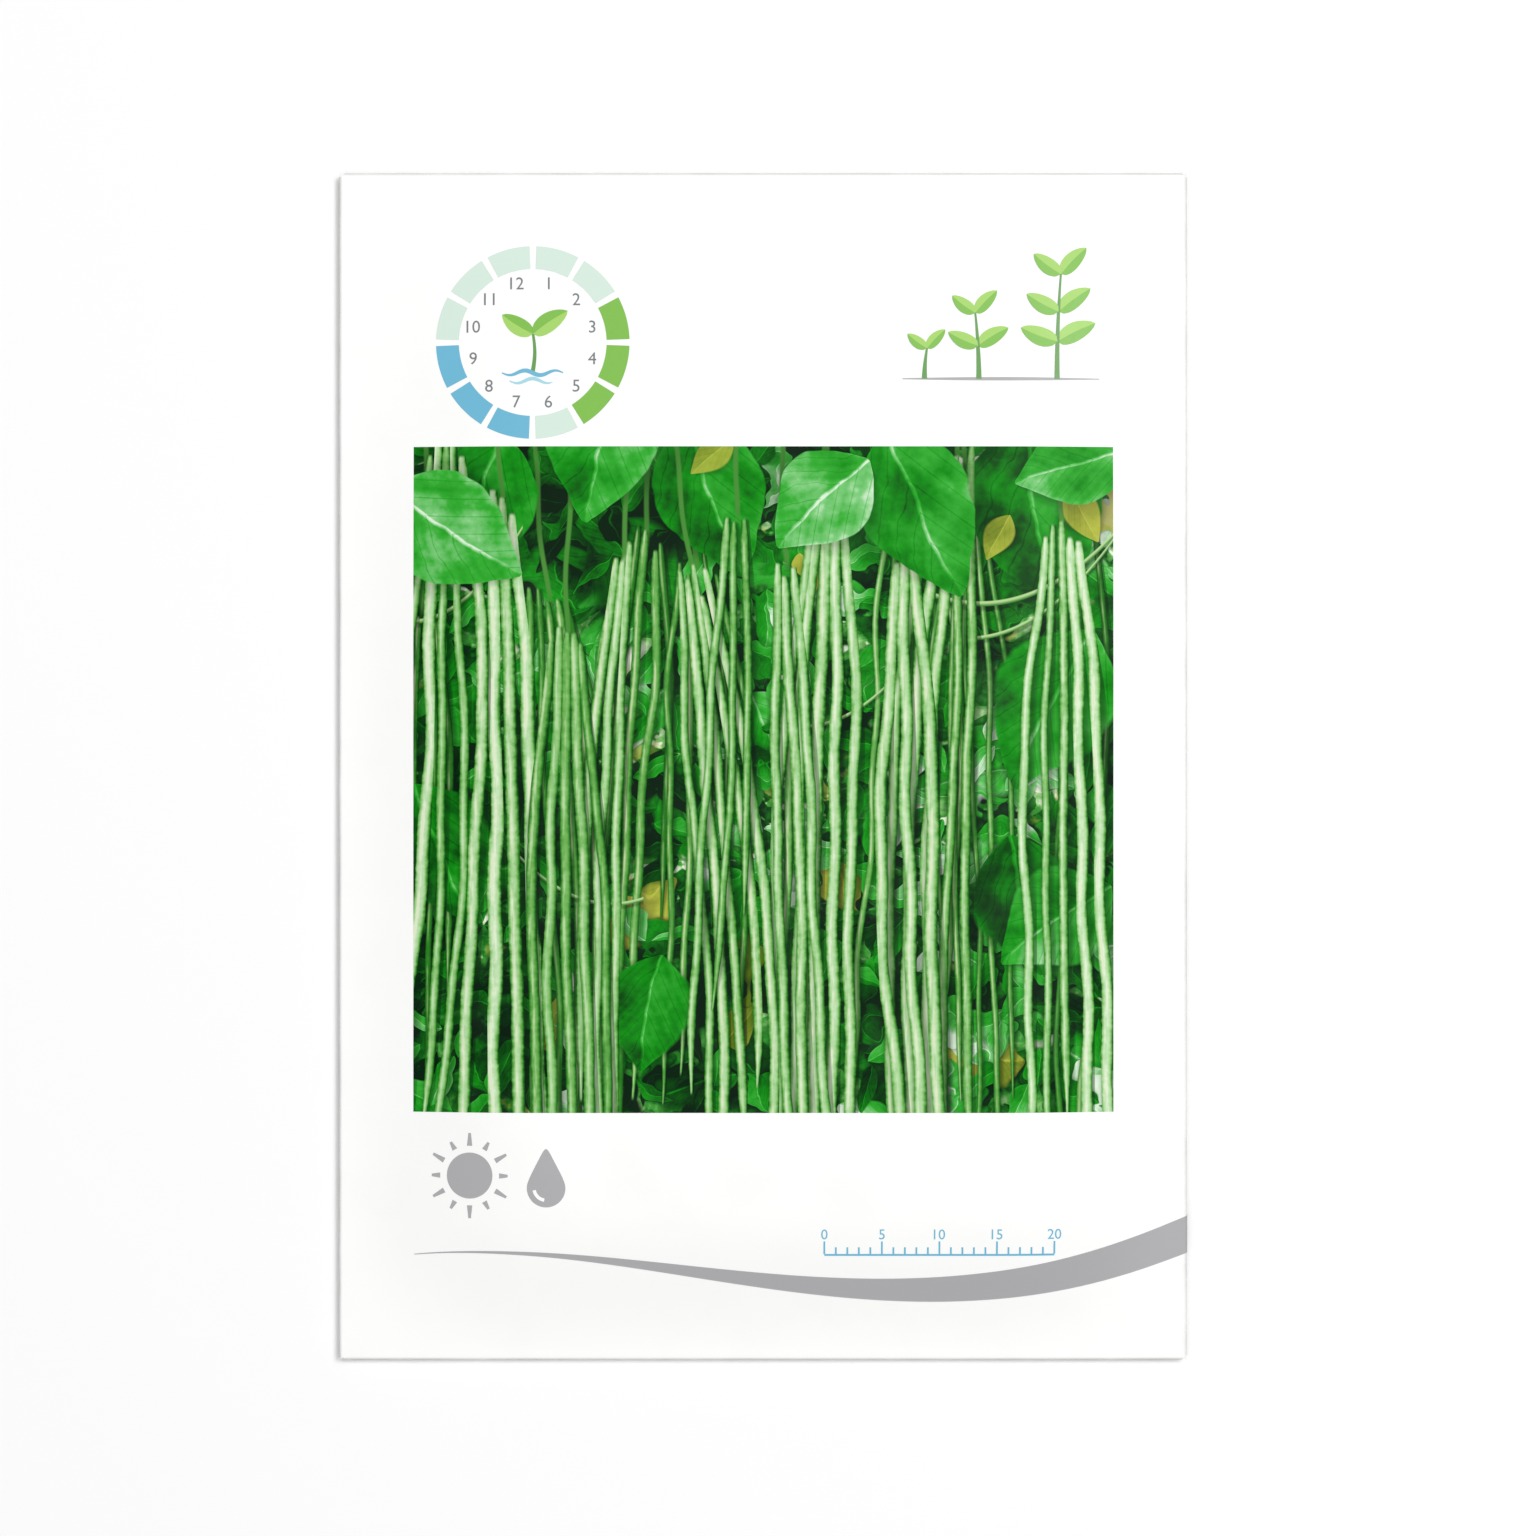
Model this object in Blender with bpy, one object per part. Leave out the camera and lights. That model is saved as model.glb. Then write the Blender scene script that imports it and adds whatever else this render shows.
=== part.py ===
"""A paper seed packet: one folded sheet, closed all round, with yardlong bean seeds lying inside.

The packet lies on its back. +X is the printed front's right, +Y its top, and +Z points out of it.
The origin is on the surface that the packet lies on, under the middle of the front.
"""

import math
import random

import bmesh
import bpy
from mathutils import Vector

MM = 0.001

# The packet's outside size, and its paper
PACKET_WIDTH = 100 * MM
PACKET_HEIGHT = 140 * MM
PAPER = 0.2 * MM

# How far apart the middles of two glued layers lie, and which layer each panel is, from the front down
LAYER_PITCH = 0.35 * MM
SEAM_LAYER = 1
BACK_LAYER = 2
CLOSING_LAYER = 3

# The flaps, measured from the fold to their free edge, and how much narrower each millimetre makes them
SEAM_FLAP = 12 * MM
BOTTOM_FLAP = 12 * MM
TOP_FLAP = 18 * MM
SEAM_TAPER = 0.35
CLOSING_TAPER = 0.45
BACK_PANEL_STOP = 3 * MM
CORNER_NOTCH = 0.5 * MM

# How far the seeds push the two panels apart, and how far in from each edge the paper takes to rise
FRONT_RISE = 3.4 * MM
BACK_DROP = 1.0 * MM
SIDE_RAMP = 22 * MM
FRONT_FOOT_RAMP = 18 * MM
BACK_FOOT_RAMP = 22 * MM
HEAD_RAMP = 58 * MM

# The seeds: a single layer in the lower half of the packet
SEED_LENGTH = 10 * MM
SEED_WIDTH = 5.4 * MM
SEED_THICKNESS = 4.0 * MM
SEED_COLUMNS = 5
SEED_ROWS = 5
SEED_PITCH_X = 12.4 * MM
SEED_PITCH_Y = 12.8 * MM
SEED_FIELD_Y = -20.4 * MM
SEED_CLEARANCE = 0.3 * MM
SEED_DRAW = 7

PAPER_WHITE = (0.93, 0.93, 0.915, 1.0)
SEED_BROWN = (0.20, 0.055, 0.025, 1.0)

HALF_WIDTH = (PACKET_WIDTH - PAPER) / 2
HALF_HEIGHT = (PACKET_HEIGHT - PAPER) / 2
RIM_Z = PAPER / 2 + BACK_DROP + BACK_LAYER * LAYER_PITCH

# A fold's radius is half the way between the two layers that it joins
SIDE_FOLD = BACK_LAYER * LAYER_PITCH / 2
SEAM_FOLD = SEAM_LAYER * LAYER_PITCH / 2
CLOSING_FOLD = CLOSING_LAYER * LAYER_PITCH / 2

# Where the front panel stops and each fold starts
LEFT_LINE = -HALF_WIDTH + SIDE_FOLD
RIGHT_LINE = HALF_WIDTH - SEAM_FOLD
BOTTOM_LINE = -HALF_HEIGHT + CLOSING_FOLD
TOP_LINE = HALF_HEIGHT - CLOSING_FOLD

# Where the mesh's grid lines run: distances in from the front's edges, and steps along the other panels
FRONT_STEPS_IN = [d * MM for d in (0.5, 4.5, 8.5, 12.5, 17, 22, 33)]
FRONT_STEPS_UP = [d * MM for d in (0.5, 5, 9.5, 14, 18, 22, 34, 46, 58)]
BACK_STEP = 7.5 * MM
FLAP_STEP = 4 * MM
FOLD_STEPS = 6


def clear_scene():
    """Removes whatever the scene holds."""
    for obj in list(bpy.data.objects):
        bpy.data.objects.remove(obj)


def material(name, colour, roughness):
    """A plain material of that colour."""
    made = bpy.data.materials.new(name)
    made.use_nodes = True
    shader = made.node_tree.nodes["Principled BSDF"]
    shader.inputs["Base Color"].default_value = colour
    shader.inputs["Roughness"].default_value = roughness
    shader.inputs["Metallic"].default_value = 0.0
    return made


def ramp(distance, width):
    """A smooth step from 0 at the edge to 1 at that width in from it."""
    share = min(max(distance / width, 0.0), 1.0)
    return share * share * (3 - 2 * share)


def swell(x, y, foot_ramp):
    """How far the seeds have pushed a panel out at a place, from 0 at the rim to 1 over the seeds."""
    across = ramp(HALF_WIDTH - abs(x), SIDE_RAMP)
    along = ramp(HALF_HEIGHT + y, foot_ramp) * ramp(HALF_HEIGHT - y, HEAD_RAMP)
    return across * along


def front_z(x, y):
    """The height of the front panel's middle."""
    return RIM_Z + FRONT_RISE * swell(x, y, FRONT_FOOT_RAMP)


def under_z(x, y, drop):
    """The height of a layer behind the front: drop is its depth below the front at the rim."""
    return RIM_Z - drop - BACK_DROP * swell(x, y, BACK_FOOT_RAMP)


def turn_under(length, radius):
    """How far out past its fold line a strip reaches, and how deep it is, at a length along it."""
    angle = min(length / radius, math.pi)
    run_back = max(length - math.pi * radius, 0.0)
    return radius * math.sin(angle) - run_back, radius * (1 - math.cos(angle))


def folded(u, v):
    """Where a point of the flat blank lies once the packet is folded. u and v are measured on the front."""
    if u < LEFT_LINE:
        out, drop = turn_under(LEFT_LINE - u, SIDE_FOLD)
        x, y = LEFT_LINE - out, v
    elif u > RIGHT_LINE:
        length = u - RIGHT_LINE
        out, drop = turn_under(length, SEAM_FOLD)
        x, y = RIGHT_LINE + out, v * (1 - SEAM_TAPER * length / HALF_HEIGHT)
    elif v < BOTTOM_LINE:
        length = BOTTOM_LINE - v
        out, drop = turn_under(length, CLOSING_FOLD)
        x, y = u * (1 - CLOSING_TAPER * length / HALF_WIDTH), BOTTOM_LINE - out
    elif v > TOP_LINE:
        length = v - TOP_LINE
        out, drop = turn_under(length, CLOSING_FOLD)
        x, y = u * (1 - CLOSING_TAPER * length / HALF_WIDTH), TOP_LINE + out
    else:
        return Vector((u, v, front_z(u, v)))
    return Vector((x, y, under_z(x, y, drop)))


def panel_stations(low, high, inward):
    """Places across a panel: its two edges, and the given distances in from each."""
    return sorted({low, high, *(low + d for d in inward), *(high - d for d in inward)})


def strip_stations(fold, reach, step):
    """Lengths along a strip past its fold line: close together round the fold, then a step apart."""
    around = math.pi * fold
    straight = reach - fold
    count = max(1, round(straight / step))
    turn = [around * i / FOLD_STEPS for i in range(1, FOLD_STEPS + 1)]
    return turn + [around + straight * i / count for i in range(1, count + 1)]


def blank_stations():
    """The grid lines of the flat blank, across and up, with the front's two edges in each."""
    across = panel_stations(LEFT_LINE, RIGHT_LINE, FRONT_STEPS_IN)
    up = panel_stations(BOTTOM_LINE, TOP_LINE, FRONT_STEPS_UP)
    back_reach = PACKET_WIDTH - BACK_PANEL_STOP
    left = [LEFT_LINE - s for s in strip_stations(SIDE_FOLD, back_reach, BACK_STEP)]
    right = [RIGHT_LINE + s for s in strip_stations(SEAM_FOLD, SEAM_FLAP, FLAP_STEP)]
    below = [BOTTOM_LINE - s for s in strip_stations(CLOSING_FOLD, BOTTOM_FLAP, FLAP_STEP)]
    above = [TOP_LINE + s for s in strip_stations(CLOSING_FOLD, TOP_FLAP, FLAP_STEP)]
    return sorted(left) + across + right, sorted(below) + up + above


def on_blank(u, v):
    """Whether the middle of a grid cell is paper: the blank is a cross, notched where folds meet."""
    past_side = not LEFT_LINE < u < RIGHT_LINE
    past_end = not BOTTOM_LINE < v < TOP_LINE
    if past_side and past_end:
        return False
    if past_side:
        return BOTTOM_LINE + CORNER_NOTCH < v < TOP_LINE - CORNER_NOTCH
    if past_end:
        return LEFT_LINE + CORNER_NOTCH < u < RIGHT_LINE - CORNER_NOTCH
    return True


def build_envelope(paper):
    """The whole packet as the one sheet of paper that it is, folded, with its glued laps a hair apart."""
    us, vs = blank_stations()
    sheet = bmesh.new()
    corners = {}

    def corner(i, j):
        if (i, j) not in corners:
            corners[i, j] = sheet.verts.new(folded(us[i], vs[j]))
        return corners[i, j]

    for i in range(len(us) - 1):
        for j in range(len(vs) - 1):
            if on_blank((us[i] + us[i + 1]) / 2, (vs[j] + vs[j + 1]) / 2):
                sheet.faces.new([corner(i, j), corner(i + 1, j), corner(i + 1, j + 1), corner(i, j + 1)])
    bmesh.ops.triangulate(sheet, faces=sheet.faces[:])
    mesh = bpy.data.meshes.new("envelope")
    sheet.to_mesh(mesh)
    sheet.free()
    mesh.materials.append(paper)
    mesh.shade_smooth()
    envelope = bpy.data.objects.new("envelope", mesh)
    bpy.context.scene.collection.objects.link(envelope)
    thickness = envelope.modifiers.new("paper thickness", "SOLIDIFY")
    thickness.thickness = PAPER
    thickness.offset = 0.0
    return envelope


def seed_mesh(coat):
    """A kidney-shaped seed lying on its flat side, its long axis along X and its hilum towards -Y."""
    shape = bmesh.new()
    bmesh.ops.create_uvsphere(shape, u_segments=12, v_segments=8, radius=1.0)
    for vert in shape.verts:
        # The sphere's poles go to the two ends of the seed
        along, across, up = vert.co.z, vert.co.x, vert.co.y
        blunt = math.copysign(abs(along) ** 0.9, along)
        narrowing = 1 - 0.12 * along
        bend = 0.22 * (0.35 - along * along)
        notch = 0.16 * math.exp(-((along / 0.3) ** 2)) * max(0.0, -across)
        vert.co = Vector((
            blunt * SEED_LENGTH / 2,
            (across * narrowing * 0.92 + bend + notch) * SEED_WIDTH / 2,
            up * narrowing * SEED_THICKNESS / 2,
        ))
    mesh = bpy.data.meshes.new("seed")
    shape.to_mesh(mesh)
    shape.free()
    mesh.materials.append(coat)
    mesh.shade_smooth()
    return mesh


def build_seeds(coat):
    """The seeds in a loose single layer, each turned its own way."""
    draw = random.Random(SEED_DRAW)
    mesh = seed_mesh(coat)
    height = PAPER + SEED_CLEARANCE + SEED_THICKNESS / 2
    for index in range(SEED_COLUMNS * SEED_ROWS):
        row, column = divmod(index, SEED_COLUMNS)
        seed = bpy.data.objects.new(f"seed_{index + 1:02d}", mesh)
        seed.location = (
            (column - (SEED_COLUMNS - 1) / 2) * SEED_PITCH_X + draw.uniform(-0.6, 0.6) * MM,
            SEED_FIELD_Y + (row - (SEED_ROWS - 1) / 2) * SEED_PITCH_Y + draw.uniform(-0.8, 0.8) * MM,
            height,
        )
        seed.rotation_euler = (0, 0, draw.uniform(0, 2 * math.pi))
        bpy.context.scene.collection.objects.link(seed)


clear_scene()
build_envelope(material("coated_paper", PAPER_WHITE, 0.4))
build_seeds(material("seed_coat", SEED_BROWN, 0.45))
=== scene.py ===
"""The finished look of a paper seed packet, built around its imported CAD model.

The packet lies on its back and the camera looks straight down on its printed front. The paper is one folded
sheet. Everything printed on it is a thin skin of ink that is laid out flat on the unfolded sheet, in metres,
and then carried round the folds with the paper.
"""

import logging
import math
import random
from dataclasses import dataclass, field, fields
from enum import Enum
from functools import partialmethod
from math import cos, pi, radians, sin
from typing import Iterable, Mapping, Sequence

import bmesh
import bpy
import numpy as np
from bpy.types import Material, Mesh, Node, NodeSocket, NodeTree as Tree, Object as Piece
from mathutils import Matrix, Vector
from numpy import ndarray as Array


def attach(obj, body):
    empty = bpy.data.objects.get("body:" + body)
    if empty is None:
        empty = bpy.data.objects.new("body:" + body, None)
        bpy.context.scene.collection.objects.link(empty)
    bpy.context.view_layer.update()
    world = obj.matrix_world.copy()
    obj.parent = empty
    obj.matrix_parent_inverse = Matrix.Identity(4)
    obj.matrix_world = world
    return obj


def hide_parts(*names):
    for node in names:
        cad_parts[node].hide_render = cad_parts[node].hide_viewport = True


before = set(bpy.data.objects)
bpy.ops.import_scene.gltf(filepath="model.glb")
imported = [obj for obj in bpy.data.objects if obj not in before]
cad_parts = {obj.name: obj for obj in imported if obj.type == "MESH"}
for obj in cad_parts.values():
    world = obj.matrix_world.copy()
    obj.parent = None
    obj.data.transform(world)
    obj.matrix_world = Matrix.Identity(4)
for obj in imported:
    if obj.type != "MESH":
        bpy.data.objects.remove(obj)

MM = 0.001
BODY = "root"
LOG = logging.getLogger("seed_packet")

Flat = tuple[float, float]
Three = tuple[float, float, float]
Colour = Three


def linear(red: int, green: int, blue: int) -> Colour:
    """The linear colour that a shader wants for one that a screen shows with shares of up to 255."""
    shares = (channel / 255 for channel in (red, green, blue))
    return tuple(s / 12.92 if s <= 0.04045 else ((s + 0.055) / 1.055) ** 2.4 for s in shares)


PAPER_WHITE = linear(247, 247, 246)


class Ink(Enum):
    """The printer's inks, apart from those of the picture."""

    LEAF = linear(118, 182, 58)
    SHOOT = linear(157, 205, 92)
    STEM = linear(88, 148, 66)
    WATER = linear(98, 176, 206)
    MIST = linear(158, 210, 221)
    FAINT = linear(206, 226, 214)
    STONE = linear(165, 165, 167)
    SLATE = linear(112, 116, 120)
    PAPER = PAPER_WHITE


# How shader trees are written down


@dataclass(frozen=True)
class Wire:
    """A value running through a shader tree. Arithmetic on it adds Math nodes to the tree."""

    tree: Tree
    socket: NodeSocket

    def _math(self, operation: str, *others: "Wire | float", clamp: bool = False) -> "Wire":
        """Adds one Math node.

        Args:
            operation: Blender's name for what the node does.
            others: What goes into the node after this wire.
            clamp: Whether the result is held between 0 and 1.

        Returns:
            The wire that comes out of the node.
        """
        node = self.tree.nodes.new("ShaderNodeMath")
        node.operation = operation
        node.use_clamp = clamp
        for socket, value in zip(node.inputs, (self, *others)):
            plug(socket, value)
        return Wire(self.tree, node.outputs[0])

    __add__ = partialmethod(_math, "ADD")
    __sub__ = partialmethod(_math, "SUBTRACT")
    __mul__ = partialmethod(_math, "MULTIPLY")
    __truediv__ = partialmethod(_math, "DIVIDE")
    sine = partialmethod(_math, "SINE")
    cosine = partialmethod(_math, "COSINE")
    size = partialmethod(_math, "ABSOLUTE")
    nearest = partialmethod(_math, "ROUND")
    fraction = partialmethod(_math, "FRACT")
    # 1 where the value is below or above a limit, and 0 elsewhere
    under = partialmethod(_math, "LESS_THAN")
    over = partialmethod(_math, "GREATER_THAN")
    # The smaller of two values, with a soft change of a given width from one to the other
    lesser = partialmethod(_math, "SMOOTH_MIN")
    # The value held between 0 and 1
    kept = partialmethod(_math, "ADD", 0.0, clamp=True)

    def __rsub__(self, other: float) -> "Wire":
        """A plain number less this wire."""
        return (self * -1.0) + other

    def rise(self, low: float, high: float) -> "Wire":
        """A smooth step.

        Args:
            low: The value that gives 0. It may be the larger of the two.
            high: The value that gives 1.

        Returns:
            A wire that runs from 0 to 1, and is flat beyond both ends.
        """
        node = self.tree.nodes.new("ShaderNodeMapRange")
        node.interpolation_type = "SMOOTHSTEP"
        ends = {"From Min": min(low, high), "From Max": max(low, high)}
        heights = {"To Min": float(low > high), "To Max": float(low <= high)}
        for name, value in {"Value": self, **ends, **heights}.items():
            plug(node.inputs[name], value)
        return Wire(self.tree, node.outputs["Result"])


def plug(socket: NodeSocket, value: Wire | float | Colour) -> None:
    """Links a wire to a socket, or sets the socket to a plain value.

    Args:
        socket: Where the value goes.
        value: A wire, a number or a colour.
    """
    if isinstance(value, Wire):
        value.tree.links.new(value.socket, socket)
    else:
        socket.default_value = (*value, 1.0) if socket.type == "RGBA" else value


@dataclass
class Sketch:
    """A shader tree being drawn: each method adds nodes that are already linked."""

    tree: Tree

    def node(
        self, kind: str, inputs: Mapping[str | int, Wire | float | Colour] | None = None, **settings: object
    ) -> Node:
        """Adds a node.

        Args:
            kind: Blender's name for the kind of node.
            inputs: What goes into its inputs, by their names or numbers.
            settings: The node's own properties, by name.

        Returns:
            The new node.
        """
        made = self.tree.nodes.new(kind)
        for name, value in settings.items():
            setattr(made, name, value)
        for name, value in (inputs or {}).items():
            plug(made.inputs[name], value)
        return made

    def out(self, node: Node, name: str | int = 0) -> Wire:
        """The wire out of a node's named or numbered output."""
        return Wire(self.tree, node.outputs[name])

    def outs(self, node: Node, names: Iterable[str | int]) -> list[Wire]:
        """The wires out of several outputs."""
        return [self.out(node, name) for name in names]

    def parts(self, kind: str, whole: Wire) -> list[Wire]:
        """The three parts of a vector, for the kind XYZ, or of a colour, for the kind Color."""
        return self.outs(self.node(f"ShaderNodeSeparate{kind}", {0: whole}), range(3))

    def place(self) -> list[Wire]:
        """Where the shaded point is.

        Returns:
            Its millimetres along X, Y and Z of the packet.
        """
        metres = self.out(self.node("ShaderNodeTexCoord"), "Object")
        scaled = self.node("ShaderNodeVectorMath", {0: metres, "Scale": 1 / MM}, operation="SCALE")
        return self.parts("XYZ", self.out(scaled))

    def vector(self, x: Wire, y: Wire, z: Wire | float = 0.0) -> Wire:
        """The three values joined into one vector."""
        return self.out(self.node("ShaderNodeCombineXYZ", {"X": x, "Y": y, "Z": z}))

    def noise(self, at: Wire, scale: float, detail: float = 2.0, roughness: float = 0.5) -> Wire:
        """Soft noise of about 0.3 to 0.7. The scale is in lumps to a unit, and detail adds finer layers."""
        inputs = {"Vector": at, "Scale": scale, "Detail": detail, "Roughness": roughness}
        return self.out(self.node("ShaderNodeTexNoise", inputs), "Fac")

    def chance(self, x: Wire, y: Wire) -> list[Wire]:
        """Three steady random numbers, from 0 to 1, for each pair of values."""
        made = self.node("ShaderNodeTexWhiteNoise", {"Vector": self.vector(x, y)}, noise_dimensions="2D")
        return self.parts("Color", self.out(made, "Color"))

    def ramp(self, value: Wire, stops: Sequence[tuple[float, Colour]]) -> Wire:
        """A colour read from a row of stops.

        Args:
            value: Where on the row the colour is read.
            stops: Each stop's place from 0 to 1, with its colour.

        Returns:
            The colour.
        """
        made = self.node("ShaderNodeValToRGB", {"Fac": value})
        elements = made.color_ramp.elements
        for element, (at, colour) in zip((elements[0], elements[-1]), (stops[0], stops[-1])):
            element.position, element.color = at, (*colour, 1.0)
        for at, colour in stops[1:-1]:
            elements.new(at).color = (*colour, 1.0)
        return self.out(made, "Color")

    def mixed(self, share: Wire | float, under: Wire | Colour, over: Wire | Colour) -> Wire:
        """The first colour, with a share of the second in it."""
        # The Mix node has its two colours at inputs 6 and 7, and the mixed one at output 2
        return self.out(self.node("ShaderNodeMix", {0: share, 6: under, 7: over}, data_type="RGBA"), 2)

    def read(self, attribute: str, output: str = "Fac") -> Wire:
        """What the mesh says at the shaded point, in a named attribute."""
        return self.out(self.node("ShaderNodeAttribute", attribute_name=attribute), output)

    def bump(self, height: Wire, distance: float) -> Wire:
        """The normal that a height gives, where a height of 1 stands out by that many metres."""
        return self.out(self.node("ShaderNodeBump", {"Height": height, "Distance": distance}))

    def group(self, group: Tree, **values: Wire | float) -> Node:
        """Places a node group. A value goes to the input of its name, with spaces for underscores."""
        inputs = {name.replace("_", " "): value for name, value in values.items()}
        return self.node("ShaderNodeGroup", inputs, node_tree=group)


class GroupSketch(Sketch):
    """A node group being drawn, with named inputs and outputs."""

    def __init__(self, name: str, inputs: Mapping[str, str], outputs: Mapping[str, str]) -> None:
        """Starts a new group.

        Args:
            name: The group's name.
            inputs: Each input's name, with Float, Color or Vector.
            outputs: The same for the outputs.
        """
        super().__init__(bpy.data.node_groups.new(name, "ShaderNodeTree"))
        for way, sockets in (("INPUT", inputs), ("OUTPUT", outputs)):
            for label, kind in sockets.items():
                self.tree.interface.new_socket(label, in_out=way, socket_type=f"NodeSocket{kind}")
        self._inputs = self.node("NodeGroupInput")

    def given(self, name: str) -> Wire:
        """What comes in at a named input."""
        return self.out(self._inputs, name)

    def give(self, **values: Wire) -> Tree:
        """Ends the group: each value goes out at the output of its name."""
        self.node("NodeGroupOutput", values)
        return self.tree


class MaterialSketch(Sketch):
    """A material being drawn."""

    def __init__(self, name: str) -> None:
        """Starts a material.

        Args:
            name: The material's name.
        """
        self.material = bpy.data.materials.new(name)
        self.material.use_nodes = True
        super().__init__(self.material.node_tree)

    def done(self, **values: Wire | float) -> Material:
        """Ends the material.

        Args:
            values: What goes into the Principled shader, by its inputs' names with underscores for spaces.

        Returns:
            The material.
        """
        shader = self.tree.nodes["Principled BSDF"]
        for name, value in values.items():
            plug(shader.inputs[name.replace("_", " ")], value)
        return self.material


# Effects that several finishes share


def fibre_group() -> Tree:
    """Draws the surface of paper.

    Returns:
        The group: the height of fine fibres, and soft clouds where the pulp is thicker.
    """
    sketch = GroupSketch("paper_fibre", {"Place": "Vector"}, {"Height": "Float", "Cloud": "Float"})
    at = sketch.given("Place")
    cloud = sketch.noise(at, 0.16, detail=3.0)
    felt = sketch.noise(at, 5.5, detail=4.0, roughness=0.65)
    return sketch.give(Height=felt * 0.7 + cloud * 0.3, Cloud=cloud)


def print_group(fibre: Tree) -> Tree:
    """Draws ink as it lies on coated paper.

    Args:
        fibre: The group that draws the paper.

    Returns:
        The group: the ink a little uneven, glossier than the sheet, and thin on raised fibres.
    """
    outputs = {"Colour": "Color", "Roughness": "Float", "Height": "Float"}
    sketch = GroupSketch("ink_on_paper", {"Ink": "Color", "Place": "Vector"}, outputs)
    placed = sketch.group(fibre, Place=sketch.given("Place"))
    height, cloud = sketch.outs(placed, ("Height", "Cloud"))
    uneven = ((cloud - 0.5) * 0.02 + (height - 0.5) * 0.012).kept()
    thin = sketch.mixed(uneven, sketch.given("Ink"), PAPER_WHITE)
    return sketch.give(Colour=thin, Roughness=(height - 0.5) * 0.35 + 0.36, Height=height)


@dataclass(frozen=True)
class SharedEffects:
    """The node groups that the finishes share, each built once, and how high the fibres stand under ink."""

    fibre: Tree
    ink: Tree
    film_height: float = 0.004 * MM

    @classmethod
    def build(cls) -> "SharedEffects":
        """Builds the groups."""
        fibre = fibre_group()
        return cls(fibre, print_group(fibre))

    def inked(self, sketch: MaterialSketch, ink: Wire, place: Wire, gloss: float) -> Material:
        """Ends a material of printed ink.

        Args:
            sketch: The material.
            ink: The colour of the ink.
            place: Where the shaded point is, in millimetres.
            gloss: How much the ink reflects.

        Returns:
            The material.
        """
        placed = sketch.group(self.ink, Ink=ink, Place=place)
        colour, roughness, height = sketch.outs(placed, ("Colour", "Roughness", "Height"))
        normal = sketch.bump(height, self.film_height)
        return sketch.done(Base_Color=colour, Roughness=roughness, Normal=normal, Specular_IOR_Level=gloss)


# The finishes


@dataclass(frozen=True)
class PaperFinish:
    """White coated paper: satin outside, bare and rougher inside, greyer along its folds from a little wear
    and from painted shade.
    """

    coated: Colour = PAPER_WHITE
    bare: Colour = linear(236, 234, 228)
    worn: Colour = linear(226, 225, 221)
    # The grey of the fold edges: partly worn coating, partly painted shade on the folds
    creased: Colour = linear(190, 189, 186)
    coated_roughness: float = 0.42
    bare_roughness: float = 0.85
    fibre_height: float = 0.006 * MM
    gloss: float = 0.4

    def build(self, effects: SharedEffects) -> Material:
        """Makes the material.

        Args:
            effects: The shared node groups.

        Returns:
            The material. It reads the mesh's coat and fold attributes.
        """
        sketch = MaterialSketch("coated_paper")
        placed = sketch.group(effects.fibre, Place=sketch.vector(*sketch.place()))
        height, cloud = sketch.outs(placed, ("Height", "Cloud"))
        coat = sketch.read("coat")
        # Greyer near the fold edges, broken up by the fibres: partly rubbed coating, partly painted shade
        fold_wear_and_shade = (sketch.read("fold") * (height * 1.6 + cloud - 0.75)).kept()
        face = sketch.mixed(coat, self.bare, self.coated)
        clouded = sketch.mixed(((cloud - 0.5) * 0.3).kept(), face, self.worn)
        drop = self.bare_roughness - self.coated_roughness
        roughness = (1.0 - coat) * drop + self.coated_roughness + fold_wear_and_shade * 0.25 + (height - 0.5) * 0.3
        return sketch.done(
            Base_Color=sketch.mixed(fold_wear_and_shade * 0.7, clouded, self.creased),
            Roughness=roughness,
            Normal=sketch.bump(height, self.fibre_height),
            Specular_IOR_Level=self.gloss,
        )


@dataclass(frozen=True)
class InkFinish:
    """The plain inks."""

    gloss: float = 0.35

    def build(self, effects: SharedEffects) -> Material:
        """Makes the material, which reads each printed skin's colour in its ink attribute."""
        sketch = MaterialSketch("printing_ink")
        return effects.inked(sketch, sketch.read("ink", "Color"), sketch.vector(*sketch.place()), self.gloss)


@dataclass(frozen=True)
class SeedFinish:
    """The smooth red-brown coat of a bean seed, with a pale hilum."""

    coat: Colour = linear(118, 52, 34)
    dark: Colour = linear(74, 28, 20)
    hilum: Colour = linear(226, 214, 190)
    rim: Colour = linear(40, 18, 14)
    grain_height: float = 0.03 * MM

    def build(self) -> Material:
        """Makes the material.

        Returns:
            The material. It reads the mesh's hilum attribute.
        """
        sketch = MaterialSketch("seed_coat")
        at = sketch.vector(*sketch.place())
        mottle = sketch.noise(at, 0.7, detail=4.0, roughness=0.6)
        grain = sketch.noise(at, 6.0)
        skin = sketch.mixed(mottle.rise(0.35, 0.68), self.coat, self.dark)
        eye = sketch.read("hilum")
        ringed = sketch.mixed(eye.rise(0.15, 0.4), skin, self.rim)
        return sketch.done(
            Base_Color=sketch.mixed(eye.rise(0.5, 0.75), ringed, self.hilum),
            Roughness=(grain - 0.5) * 0.3 + 0.36,
            Normal=sketch.bump(grain * 0.4 + mottle, self.grain_height),
        )


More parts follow.
